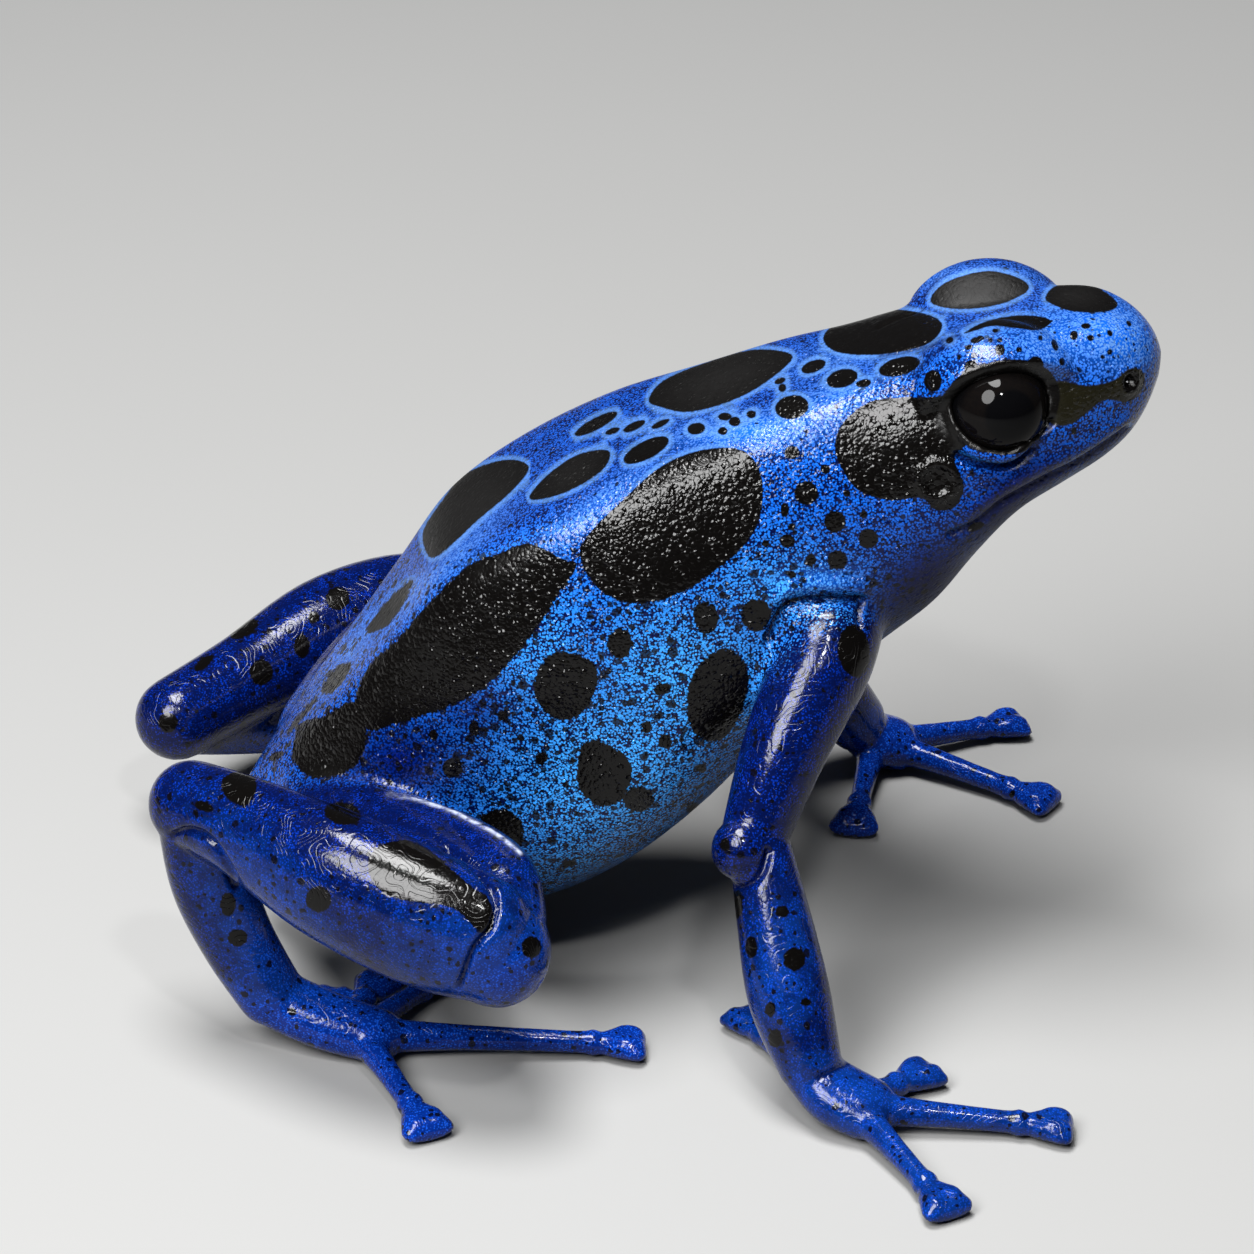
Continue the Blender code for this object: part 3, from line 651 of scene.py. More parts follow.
def outline_distance(places, outline):
    """How far each place is outside a closed smooth outline; inside it, below zero."""
    corners = np.array(outline, float)
    ring = np.concatenate((corners[-2:], corners, corners[:3]))
    steps = 5
    smooth = smooth_rows(ring, (len(ring) - 1) * steps + 1)[2 * steps : -2 * steps]
    distance = line_distance(places, smooth)
    inside = np.zeros(len(places), bool)
    x, y = places.T
    for (ax, ay), (bx, by) in zip(smooth[:-1], smooth[1:]):
        if ay != by:
            inside ^= ((ay > y) != (by > y)) & (x < (bx - ax) * (y - ay) / (by - ay) + ax)
    return np.where(inside, -distance, distance)


def oval_place(places, across, up, half_across, half_up, turn):
    """Where each place is along and across a turned oval, as shares of its half sizes."""
    angle = math.radians(turn)
    x, y = places[:, 0] - across, places[:, 1] - up
    along = (x * math.cos(angle) + y * math.sin(angle)) / half_across
    aside = (y * math.cos(angle) - x * math.sin(angle)) / half_up
    return along, aside


def oval_distance(places, spot):
    """How far each place is outside an oval spot, nearly; inside it, below zero."""
    along, aside = oval_place(places, *spot)
    _, _, half_across, half_up, _ = spot
    never_zero = 1e-6
    far = np.hypot(along, aside) + never_zero
    slope = np.hypot(along / half_across, aside / half_up) + never_zero
    return far * (far - 1) / slope


def read_mesh(form):
    """The vertices' places and normals."""
    count = len(form.data.vertices)
    points, normals = np.empty(count * 3), np.empty(count * 3)
    form.data.vertices.foreach_get("co", points)
    form.data.vertices.foreach_get("normal", normals)
    return points.reshape(-1, 3), normals.reshape(-1, 3)


def write_points(form, points):
    """Moves the vertices to new places."""
    form.data.vertices.foreach_set("co", points.ravel())
    form.data.update()


def write_values(form, name, values):
    """Keeps one number for each vertex, for the material to read."""
    layer = form.data.attributes.new(name, "FLOAT", "POINT")
    layer.data.foreach_set("value", np.asarray(values, np.float32))


def soft_step(values, low, high):
    """0 up to low, 1 from high on, and a smooth change between them."""
    share = np.clip((values - low) / (high - low), 0, 1)
    return share * share * (3 - 2 * share)


def limb_share(points, torso_surface):
    """0 on the trunk and head, 1 on the limbs, with a soft change between them."""
    far = np.array([torso_surface.find_nearest(point)[3] for point in points])
    return soft_step(far, *LIMB_EDGE)


def carve_round(points, normals, centre, radius, profile):
    """Presses or raises the skin round a place, on both sides of the head, as the profile says."""
    moved = points.copy()
    shares, heights = np.array(profile).T
    for place in (centre, mirrored(centre)):
        far = np.linalg.norm(points - place, axis=1) / radius
        moved += normals * np.interp(far, shares, heights)[:, None]
    return moved


def fold_heights(points, normals, limbs):
    """How far folds and creases press or raise the skin, and the painted shade in creases."""
    heights, dark = np.zeros(len(points)), np.zeros(len(points))
    for side in (1, -1):
        places, _ = picture_place(points, side)
        seen = soft_step(facing(points, normals, side), 0.0, 0.35)
        for line in SKIN_LINES:
            if line.where == "limb" and side < 0:
                continue
            weight = seen if line.where == "limb" else seen * (1 - limbs)
            near = line_distance(places, smooth_rows(line.points, len(line.points) * 4))
            share = np.exp(-((near / line.width) ** 2)) * weight
            heights += line.height * share
            if line.height < 0:
                dark = np.maximum(dark, share)
    return heights, dark


# Spots, as the camera sees them: millimetres across and up the picture from its middle
OUTLINED_SPOTS = {
    "mid_back": (
        (0.9, 9.5), (1.5, 10.3), (3.1, 11.0), (5.2, 11.6), (6.9, 11.4), (6.3, 10.6), (4.7, 9.6),
        (2.7, 9.0), (1.4, 9.2),
    ),
    "back_right": (
        (-4.1, 5.4), (-3.4, 6.3), (-2.1, 7.2), (-0.8, 7.4), (-0.9, 6.7), (-2.0, 5.9), (-3.3, 5.4),
    ),
    "flank_front": (
        (-2.0, 3.0), (-1.5, 4.0), (-0.3, 5.2), (1.4, 6.7), (3.1, 7.4), (4.8, 7.4), (5.6, 6.4),
        (5.6, 4.7), (4.9, 3.4), (3.6, 2.3), (2.0, 1.3), (0.1, 1.0), (-1.2, 1.6),
    ),
    "flank_rear": (
        (-2.1, 2.6), (-2.8, 2.9), (-4.1, 3.5), (-5.3, 3.1), (-6.6, 2.6), (-8.0, 1.3), (-9.7, -0.6),
        (-10.8, -1.6), (-11.4, -3.1), (-10.9, -4.3), (-9.5, -4.0), (-7.4, -3.3), (-5.7, -2.3),
        (-4.1, -0.5), (-2.7, 1.6),
    ),
    "hip": (
        (-13.7, -4.0), (-12.6, -3.7), (-11.5, -3.1), (-10.9, -4.2), (-11.1, -5.4), (-11.8, -6.1),
        (-13.2, -6.3), (-14.0, -5.5), (-13.9, -4.6),
    ),
    "far_hump": (
        (-8.5, 3.4), (-8.5, 4.1), (-7.8, 5.2), (-6.8, 6.4), (-5.1, 7.0), (-4.1, 6.7), (-4.8, 5.7),
        (-6.2, 4.5), (-7.6, 3.2), (-8.2, 2.9),
    ),
    "far_rump": ((-10.9, -0.2), (-10.3, 0.8), (-9.0, 2.0), (-9.3, 1.0), (-10.1, -0.0)),
    "far_tail": ((-12.8, -2.6), (-12.2, -1.7), (-11.5, -1.5), (-11.8, -2.2), (-12.4, -2.8)),
    "side_middle": (
        (-3.9, -2.8), (-3.6, -1.6), (-2.8, -1.0), (-1.4, -1.5), (-1.3, -2.6), (-2.0, -3.7),
        (-3.1, -3.8),
    ),
    "side_arm": (
        (2.5, -3.3), (2.8, -1.9), (3.7, -1.0), (4.6, -1.1), (5.1, -2.1), (4.7, -3.8), (3.8, -4.8),
        (2.8, -4.4),
    ),
    "side_low": (
        (-2.1, -6.3), (-1.8, -4.8), (-0.6, -5.0), (0.2, -5.9), (-0.2, -7.2), (-1.2, -7.5),
        (-1.9, -6.9),
    ),
    "ear": (
        (8.7, 7.5), (9.0, 8.5), (10.1, 9.4), (11.4, 9.6), (13.3, 9.7), (14.1, 10.4), (14.6, 9.5),
        (14.3, 7.8), (13.7, 7.1), (14.1, 5.9), (13.7, 5.0), (12.9, 4.9), (12.3, 5.4), (11.0, 5.3),
        (9.7, 5.7), (9.0, 6.6),
    ),
    "nape": (
        (8.2, 12.1), (8.9, 12.8), (10.6, 13.3), (12.5, 13.1), (13.2, 12.6), (12.5, 11.8),
        (10.6, 11.4), (8.8, 11.5),
    ),
    "far_brow": (
        (12.7, 13.6), (13.3, 14.4), (15.0, 14.9), (16.4, 14.6), (16.8, 14.1), (15.6, 13.5),
        (13.9, 13.3),
    ),
    "snout": (
        (17.5, 13.8), (18.0, 14.3), (19.3, 14.4), (20.5, 13.6), (20.1, 13.2), (18.7, 13.2),
        (17.8, 13.5),
    ),
    "near_brow": (
        (14.1, 12.3), (14.9, 12.75), (16.1, 13.02), (17.3, 13.0), (17.75, 12.75), (17.2, 12.42),
        (16.3, 12.5), (15.3, 12.6), (14.6, 12.4),
    ),
}
CHEEK_BAND = (
    (17.4, 9.8), (18.1, 10.3), (19.2, 10.1), (20.3, 10.3), (21.0, 10.8), (21.6, 10.7), (21.6, 10.0),
    (21.0, 9.4), (20.0, 9.5), (19.2, 8.9), (18.4, 8.4), (17.5, 8.7),
)
LIMB_OUTLINED_SPOTS = {
    "shank_long": (
        (-10.85, -10.1), (-10.5, -9.25), (-9.3, -8.9), (-8.3, -9.3), (-7.4, -10.1), (-6.4, -10.95),
        (-5.75, -11.4), (-5.6, -12.5), (-6.1, -12.8), (-7.3, -11.75), (-8.9, -11.5),
        (-10.2, -11.15),
    ),
    "heel": ((-16.9, -6.3), (-15.8, -6.0), (-15.5, -6.8), (-16.0, -7.5), (-16.8, -7.1)),
}
# An oval spot: its middle across and up, its half sizes, and its turn in degrees
BODY_SPOTS = (
    (-1.3, 8.5, 1.0, 0.25, 28), (0.8, 7.4, 1.05, 0.38, 27), (0.3, 8.4, 0.5, 0.17, 25),
    (1.4, 8.5, 0.42, 0.13, 25), (2.9, 8.3, 0.38, 0.25, 10), (4.5, 8.6, 0.25, 0.21, 0),
    (5.2, 8.9, 0.21, 0.17, 0), (4.1, 8.8, 0.29, 0.17, 0), (4.0, 8.2, 0.21, 0.17, 0),
    (-0.6, 8.2, 0.33, 0.13, 20), (6.9, 9.2, 0.71, 0.5, 10), (-13.6, -3.7, 1.0, 0.13, 50),
    (-14.7, -5.4, 0.33, 0.17, 20), (-0.3, -0.7, 0.54, 0.63, 0), (3.3, 0.4, 0.54, 0.67, 0),
    (5.4, 0.5, 0.63, 0.67, 0), (0.5, -7.2, 0.63, 0.54, 0), (-7.3, -5.9, 0.42, 0.42, 0),
    (-5.3, -8.6, 1.0, 1.0, 0), (-5.2, -3.7, 0.25, 0.25, 0), (-8.1, -4.5, 0.21, 0.21, 0),
    (-6.4, -4.2, 0.21, 0.38, 0), (1.5, -2.6, 0.38, 0.25, 20), (1.6, -4.8, 0.29, 0.33, 0),
    (0.8, -4.2, 0.21, 0.29, 0), (-3.6, -5.5, 0.29, 0.29, 0), (2.8, -7.6, 0.33, 0.25, 0),
    (-2.4, -9.9, 0.29, 0.17, 0), (3.1, -5.9, 0.21, 0.21, 0), (7.5, 5.6, 0.5, 0.5, 0),
    (8.7, 4.4, 0.46, 0.46, 0), (10.1, 3.7, 0.42, 0.42, 0), (8.8, 2.8, 0.42, 0.42, 0),
    (6.9, 7.3, 0.33, 0.29, 0), (6.7, 3.6, 0.33, 0.29, 0), (6.6, 4.9, 0.17, 0.33, 0),
    (7.7, 2.8, 0.21, 0.29, 0), (6.9, 2.2, 0.17, 0.17, 0), (9.9, 4.7, 0.17, 0.17, 0),
    (6.9, 4.2, 0.17, 0.17, 0), (5.8, 3.5, 0.17, 0.17, 0), (8.3, 6.6, 0.21, 0.21, 0),
    (9.2, 5.6, 0.17, 0.17, 0), (6.5, 10.0, 0.17, 0.17, 0), (6.4, 10.3, 0.25, 0.13, 20),
    (11.4, 10.9, 0.88, 0.38, 15), (9.0, 10.4, 0.67, 0.38, 15), (7.8, 10.9, 0.54, 0.25, 20),
    (9.9, 10.2, 0.33, 0.17, 10), (12.8, 10.3, 0.38, 0.46, 0), (14.4, 10.8, 0.29, 0.38, 0),
    (17.1, 11.0, 0.33, 0.33, 0), (15.6, 11.6, 0.21, 0.25, 0), (16.4, 11.6, 0.13, 0.13, 0),
    (19.2, 12.6, 0.21, 0.13, 0), (18.7, 12.2, 0.17, 0.21, 0), (17.9, 11.8, 0.13, 0.25, 20),
    (19.4, 12.1, 0.17, 0.13, 0), (18.2, 11.1, 0.13, 0.17, 0), (20.2, 11.5, 0.13, 0.13, 0),
    (14.6, 12.0, 0.25, 0.13, 10), (18.7, 8.2, 0.13, 0.17, 0), (14.6, 4.2, 0.38, 0.17, 20),
    (13.5, 12.0, 0.17, 0.13, 30), (14.3, 11.7, 0.17, 0.11, 20), (14.8, 12.1, 0.17, 0.10, -10),
    (15.4, 12.4, 0.14, 0.10, 0), (15.2, 12.0, 0.10, 0.14, 0), (15.6, 12.0, 0.13, 0.10, 0),
    (13.9, 11.3, 0.10, 0.13, 0), (20.2, 12.3, 0.11, 0.16, 30), (21.0, 12.7, 0.10, 0.14, 30),
    (19.9, 11.3, 0.10, 0.10, 0), (17.3, 12.1, 0.10, 0.13, 0),
)
LIMB_SPOTS = (
    (9.5, -1.0, 0.67, 1.09, 5), (7.0, -13.9, 0.46, 0.5, 0), (5.2, -13.4, 0.25, 0.46, 0),
    (6.0, -16.0, 0.21, 0.33, 0), (6.2, -17.2, 0.29, 0.38, 0), (4.6, -11.6, 0.25, 0.63, 0),
    (6.5, -11.9, 0.29, 0.25, 0), (7.5, -15.7, 0.21, 0.17, 0), (4.1, -9.1, 0.21, 0.29, 0),
    (-11.9, -7.8, 0.79, 0.46, -10), (-12.9, -11.4, 0.54, 0.54, 0), (-4.0, -13.4, 0.42, 0.46, 0),
    (-16.7, -11.6, 0.33, 0.5, 0), (-16.3, -13.0, 0.42, 0.38, 0), (-17.7, -7.5, 0.42, 0.21, -20),
    (-14.0, -16.1, 0.17, 0.17, 0), (-12.1, 1.2, 0.5, 0.5, 0), (-13.1, 0.4, 0.25, 0.25, 0),
    (-13.6, -0.8, 0.33, 0.5, 0), (-15.3, -1.9, 0.5, 0.54, 0), (-16.0, -0.1, 0.67, 0.29, 30),
    (-17.7, -1.5, 0.5, 0.21, 40), (-19.2, -4.0, 0.42, 0.42, 0), (16.1, -7.0, 0.13, 0.13, 0),
)
BELLY_SPOTS = (
    (-6.0, 2.5, 1.6, 1.0, 20), (-3.0, -3.0, 1.2, 0.9, -30), (1.0, 1.5, 1.8, 1.1, 40),
    (4.0, -2.5, 0.9, 0.8, 0), (6.5, 2.2, 1.1, 0.7, 60), (9.5, -1.0, 1.2, 0.9, 10),
    (12.5, 1.8, 0.9, 0.7, 30), (15.0, -1.2, 1.0, 0.6, -20), (-9.5, -1.5, 1.3, 0.9, 0),
    (-1.0, 5.0, 0.6, 0.5, 0), (2.8, 4.6, 0.5, 0.4, 0), (-5.0, -1.0, 0.5, 0.4, 0),
)
# The ridge along the side, as the camera sees it: its height at the middle, and its slope
RIDGE_HEIGHT = 5.8
RIDGE_SLOPE = 0.43
# Further than this from a spot, the distance to it isn't worked out
SPOT_REACH = 1.5
# How fast a spot ends where the skin turns away from a camera, and where the other camera sees it
TURNED_AWAY = 3
IN_OTHER_VIEW = 10
# The most triangles in the skin, and how near the edge of a spot they all stay
MOST_FACES = 196000
KEPT_EDGE = 0.12

# A patch of tint, as the camera sees it: middle across and up, half sizes, turn, and how strong
PALE_PATCHES = (
    (15.2, 11.9, 2.2, 0.9, 0, 0.3), (20.3, 12.3, 2.3, 1.4, -25, 1.0), (5.5, 8.2, 3.2, 0.7, 5, 1.0),
    (-1.5, 4.8, 3.5, 0.6, 38, 0.6), (-8.0, 2.2, 4.0, 0.5, 45, 0.6),
    (-11.5, -1.0, 3.0, 0.4, 55, 0.6), (8.0, 1.9, 1.8, 0.7, 5, 0.7), (8.6, 9.6, 2.0, 0.7, 20, 0.6),
    (14.5, 14.6, 2.6, 0.5, 0, 0.6), (9.5, 11.5, 4.0, 0.8, 15, 0.35), (3.0, 9.5, 5.0, 0.8, 25, 0.1),
    (17.8, 12.0, 1.6, 1.2, 0, 0.8),
)
BELLY_PATCHES = (
    (-0.5, -6.5, 5.0, 4.2, 20, 1.0), (2.5, -2.5, 4.0, 3.5, 0, 0.9), (6.0, 1.5, 3.0, 2.0, 0, 0.5),
    (-3.5, -2.0, 2.5, 3.5, 0, 0.55), (-1.5, -10.0, 3.0, 2.0, 0, 1.0),
)
# Deep blue of the rump, and painted shade under the throat, jaw and belly
DEEP_AND_SHADE_PATCHES = (
    (-9.5, -5.6, 3.2, 2.2, 0, 1.0), (-6.5, -3.6, 2.5, 1.2, 20, 0.7), (12.5, 2.0, 2.6, 1.6, 35, 1.0),
    (16.0, 5.6, 3.5, 1.0, 35, 1.0), (-14.0, -4.0, 1.0, 3.0, -45, 0.5),
    (-1.5, -11.6, 4.5, 1.2, 20, 0.8), (15.6, 6.2, 2.6, 1.0, 25, 0.6),
)
# Patches of painted shade under the jaw, throat, belly and rump
SHADE_PATCHES = (
    (12.6, 1.4, 3.6, 2.0, 42, 1.0), (15.8, 4.6, 4.8, 0.95, 36, 1.0), (19.6, 6.9, 2.2, 0.8, 40, 0.8),
    (-1.0, -11.5, 4.4, 1.4, 25, 0.95), (3.6, -8.2, 2.6, 1.3, 45, 0.75),
    (-12.5, -6.6, 2.0, 1.0, 0, 0.6),
)
# Lighter blue of the hands and feet, and on the tarsus partly a painted highlight
AZURE_AND_HIGHLIGHT_PATCHES = (
    (6.3, -14.6, 1.6, 3.4, -15, 0.35), (-14.5, -13.2, 4.2, 1.7, -55, 0.9),
    (-2.6, -15.6, 6.0, 3.0, -10, 1.0),
)
SATIN_PATCHES = (
    (14.8, 14.1, 2.8, 1.2, 0, 1.0), (-6.3, 5.0, 3.2, 2.2, 45, 0.8), (4.0, 10.4, 3.6, 1.5, 20, 0.7),
    (-10.5, 0.5, 2.2, 1.6, 45, 0.7), (19.0, 13.8, 2.0, 0.8, 0, 0.7), (-2.4, 6.4, 2.2, 1.2, 40, 0.6),
)
# The pale top of the upper arm, partly a painted highlight
ARM_TOP_AND_HIGHLIGHT_PATCHES = (
    (7.9, 0.75, 2.1, 0.75, 5, 1.0), (6.6, -0.4, 0.7, 1.2, -15, 0.5),
)
SLEEK_PATCHES = (
    (15.0, 11.9, 2.8, 1.5, 0, 1.0), (14.8, 14.1, 3.2, 1.3, 0, 1.0), (10.6, 12.4, 2.6, 1.2, 15, 0.8),
    (19.0, 13.8, 2.0, 0.8, 0, 0.9), (20.0, 12.3, 2.4, 1.6, -25, 0.55),
    (4.0, 10.4, 3.6, 1.5, 20, 0.7), (4.0, 7.3, 2.4, 1.0, 15, 0.7), (-4.2, 3.0, 2.0, 0.7, 25, 0.8),
    (-6.3, 5.0, 3.2, 2.2, 45, 0.8), (-10.5, 0.5, 2.2, 1.6, 45, 0.7), (8.5, 9.0, 1.3, 0.6, 20, 0.6),
    (9.7, 9.0, 1.0, 0.5, 20, 0.6), (16.9, 6.4, 2.6, 0.5, 35, 0.5), (13.5, 5.6, 0.7, 0.7, 0, 0.7),
    (11.0, 8.2, 2.8, 1.8, 0, 0.55), (-8.6, -2.0, 3.2, 1.6, 40, 0.5), (2.2, 2.6, 3.0, 1.2, 25, 0.45),
)


def patches(places, rows):
    """The strength of a tint, from soft oval patches."""
    total = np.zeros(len(places))
    for *patch, strength in rows:
        along, aside = oval_place(places, *patch)
        total = np.maximum(total, strength * np.exp(-(along**2) - aside**2))
    return total


def spot_sheet(places, outlines, ovals):
    """How far places in the picture are outside the nearest spot."""
    nearest = np.full(len(places), SPOT_REACH)
    for outline in outlines:
        low, high = np.min(outline, axis=0) - SPOT_REACH, np.max(outline, axis=0) + SPOT_REACH
        close = np.all((places > low) & (places < high), axis=1)
        nearest[close] = np.minimum(nearest[close], outline_distance(places[close], outline))
    for spot in ovals:
        reach = max(spot[2], spot[3]) + SPOT_REACH
        close = np.all(np.abs(places - spot[:2]) < reach, axis=1)
        nearest[close] = np.minimum(nearest[close], oval_distance(places[close], spot))
    return nearest


def spot_distance(points, normals, limbs):
    """How far each point is outside the nearest black spot; inside one, below zero."""
    right, _ = picture_place(points, 1)
    left, _ = picture_place(points, -1)
    seen_right = facing(points, normals, 1)
    seen_left = facing(points, normals, -1)
    turned = np.maximum(0, -seen_right) * TURNED_AWAY
    hidden = np.maximum(0, seen_right + 0.08) * IN_OTHER_VIEW
    hidden = hidden + np.maximum(0, -seen_left) * TURNED_AWAY
    body = spot_sheet(right, OUTLINED_SPOTS.values(), BODY_SPOTS) + turned
    other = spot_sheet(left, OUTLINED_SPOTS.values(), BODY_SPOTS) + hidden
    below = spot_sheet(points[:, :2], (), BELLY_SPOTS)
    below += sum(np.maximum(0, seen + 0.1) * IN_OTHER_VIEW for seen in (seen_right, seen_left))
    body = np.minimum(np.minimum(body, other), below)
    on_limb = spot_sheet(right, LIMB_OUTLINED_SPOTS.values(), LIMB_SPOTS) + turned
    other = spot_sheet(left, LIMB_OUTLINED_SPOTS.values(), LIMB_SPOTS) + hidden
    spot = np.where(limbs > 0.5, np.minimum(on_limb, other), body)
    for side in "RL":
        # The black rim of the eye's opening is widest above the eye and behind it
        centre, axis, across, upwards = eye_frame(side)
        x, y, z = (points - centre) @ across, (points - centre) @ upwards, (points - centre) @ axis
        from_middle = np.hypot(x / OPENING_ACROSS, (y - OPENING_RISE) / OPENING_UP)
        from_edge = (from_middle - 1) * OPENING_UP
        width = 0.13 + 0.14 * soft_step(y, -0.4, 0.9) + 0.12 * soft_step(-x, 0.6, 1.6)
        spot = np.minimum(spot, from_edge - width + 3 * soft_step(z, 0.2, -0.2))
    # The nostril is painted black: its pit as painted shade, with a black rim round it
    for place in (NOSTRIL_CENTRE, mirrored(NOSTRIL_CENTRE)):
        far = np.linalg.norm(points - place, axis=1)
        spot = np.minimum(spot, far - NOSTRIL_RADIUS - NOSTRIL_RIM)
    return np.clip(spot, -SPOT_REACH, SPOT_REACH)


def thin_out(form, limbs):
    """Takes away small triangles where the skin is even, and none at the edges of the spots."""
    points, normals = read_mesh(form)
    faces = sum(len(face.vertices) - 2 for face in form.data.polygons)
    if faces < MOST_FACES:
        return
    edge = np.abs(spot_distance(points, normals, limbs)) < KEPT_EDGE
    group = form.vertex_groups.new(name="spot_edges")
    group.add(np.flatnonzero(edge).tolist(), 1.0, "REPLACE")
    ratio = MOST_FACES / faces
    finish_modifier(
        form, "DECIMATE", ratio=ratio, vertex_group="spot_edges", invert_vertex_group=True
    )


def mark_skin(form, torso_surface):
    """Works out spots, tints, painted shade and highlights, kept on the skin's vertices."""
    points, normals = read_mesh(form)
    limbs = limb_share(points, torso_surface)
    body = 1 - limbs
    right, _ = picture_place(points, 1)
    left, _ = picture_place(points, -1)
    seen = facing(points, normals, 1)
    places = np.where((seen >= 0)[:, None], right, left)
    down = -normals[:, 2]
    from_eye = eye_distance(points) - EYE_RADIUS
    band = spot_sheet(places, (CHEEK_BAND,), ())
    silver = np.exp(-((line_distance(right, smooth_rows(SILVER_FOLD, 20)) / SILVER_HIGHLIGHT_WIDTH) ** 2))
    on_thigh = soft_step(limbs, 0.0, 0.15) * (points[:, 1] < 0)
    on_thigh = on_thigh * soft_step(right[:, 0], -11.0, -8.5)
    below = patches(places, SHADE_PATCHES) * body
    sleek = np.maximum(patches(places, SLEEK_PATCHES), limbs)
    satin = np.maximum(patches(places, SATIN_PATCHES), 0.35 * soft_step(from_eye, 0.8, 0.5))
    above_ridge = places[:, 1] - RIDGE_HEIGHT - RIDGE_SLOPE * places[:, 0]
    near_hand = (points[:, 0] > 2.5) & (points[:, 1] < 0)
    low = soft_step(points[:, 2], 4.5, 2.0) * np.where(near_hand, 0.4, 0.9)
    values = {
        "spot": spot_distance(points, normals, limbs),
        # Painted shade in the creases
        "crease": fold_heights(points, normals, limbs)[1],
        # A pale silver edge on the thigh fold, partly a painted highlight
        "silver": silver * on_thigh * soft_step(seen, 0.0, 0.2),
        "band": np.clip(band + limbs, -SPOT_REACH, SPOT_REACH),
        "limb": limbs,
        "pale": patches(places, PALE_PATCHES) * body,
        "belly": np.maximum(patches(places, BELLY_PATCHES), soft_step(down, 0.3, 0.9)) * body,
        # Deep blue of the rump, and painted shade under the throat, jaw and belly
        "deep_and_shade": patches(places, DEEP_AND_SHADE_PATCHES) * body,
        # Painted shade there and on every surface that faces down
        "shaded": np.maximum(below, 0.6 * soft_step(down, 0.55, 0.95)),
        "sleek": np.maximum(sleek, soft_step(from_eye, 1.1, 0.4)),
        "satin": satin * body,
        "ringed": soft_step(above_ridge, -0.6, 0.6) * body,
        # Pale top of the upper arm, partly a painted highlight
        "arm_top_and_highlight": patches(places, ARM_TOP_AND_HIGHLIGHT_PATCHES) * limbs,
        "torn": soft_step(places[:, 1], 4.5, 1.5) * (1 - 0.6 * limbs),
        # Lighter blue of hands and feet, and on the tarsus partly a painted highlight
        "azure_and_highlight": np.maximum(low, patches(right, AZURE_AND_HIGHLIGHT_PATCHES)) * limbs,
    }
    for name, value in values.items():
        write_values(form, name, value)


# Sizes, heights and depths in the skin's pattern and relief, in millimetres
FLECK_SIZE = 0.5
SPECKLE_SIZE = 0.10
BLOTCH_SIZE = 0.8
SHRED_SIZE = 0.22
BEND_SIZE = 0.25
BEND_REACH = 0.22
GRANULE_SIZE = 0.19
GRANULE_DEPTH = 0.13
FINE_SIZE = 0.11
FINE_DEPTH = 0.008
SWELL_SIZE = 0.7
SWELL_HEIGHT = 0.05
WRINKLE_SIZE = 1.6
WRINKLE_DEPTH = 0.0065
GLOSS_SIZE = 0.35
STREAK_SIZE = 0.15
UNEVEN_FLOOR_SIZE = 40.0
# Small dots in two sizes: the width of their cells, and the share of it that the largest takes
DOTS = ((0.55, 0.44), (0.30, 0.48))
# How many wrinkles there are from the lowest to the highest place of the field that they follow
WRINKLE_COUNT = 13.0
# The soft edges of the pupil and of the iris, in millimetres from the middle of the eye
PUPIL_EDGE = (0.95, 1.15)
IRIS_EDGE = (1.7, 1.95)


def mix_colour(tree, name, share, first, second):
    """A colour between two others, each a link or a plain colour."""
    mix = tree.nodes.new("ShaderNodeMix")
    mix.data_type = "RGBA"
    mix.label = name
    for socket, value in ((mix.inputs[0], share), (mix.inputs[6], first), (mix.inputs[7], second)):
        if isinstance(value, bpy.types.NodeSocket):
            tree.links.new(value, socket)
        else:
            socket.default_value = value
    return mix.outputs[2]


def sums(tree, operation, first, second, third=None, clamp=False):
    """The result of a sum on links or plain numbers."""
    made = tree.nodes.new("ShaderNodeMath")
    made.operation = operation
    made.use_clamp = clamp
    for socket, value in zip(made.inputs, (first, second, third)):
        if isinstance(value, bpy.types.NodeSocket):
            tree.links.new(value, socket)
        elif value is not None:
            socket.default_value = value
    return made.outputs[0]


def stepped(tree, value, low, high):
    """A soft step from 0 to 1 between two values."""
    made = tree.nodes.new("ShaderNodeMapRange")
    made.interpolation_type = "SMOOTHSTEP"
    tree.links.new(value, made.inputs["Value"])
    made.inputs["From Min"].default_value = low
    made.inputs["From Max"].default_value = high
    return made.outputs["Result"]


def read_value(tree, name):
    """The numbers that are kept on the vertices under a name."""
    made = tree.nodes.new("ShaderNodeAttribute")
    made.attribute_name = name
    return made.outputs["Fac"]


def cells(tree, coordinates, size):
    """Cells of about the given size in millimetres."""
    made = tree.nodes.new("ShaderNodeTexVoronoi")
    made.inputs["Scale"].default_value = 1 / (size * MM)
    tree.links.new(coordinates, made.inputs["Vector"])
    return made


def cell_number(tree, made, channel=0):
    """A number of its own for each cell, from 0 to 1."""
    split = tree.nodes.new("ShaderNodeSeparateColor")
    tree.links.new(made.outputs["Color"], split.inputs[0])
    return split.outputs[channel]


def clouds(tree, coordinates, size, detail=2.0, roughness=0.5):
    """Soft clouds of about the given size in millimetres."""
    made = tree.nodes.new("ShaderNodeTexNoise")
    made.inputs["Scale"].default_value = 1 / (size * MM)
    made.inputs["Detail"].default_value = detail
    made.inputs["Roughness"].default_value = roughness
    tree.links.new(coordinates, made.inputs["Vector"])
    return made.outputs["Fac"]


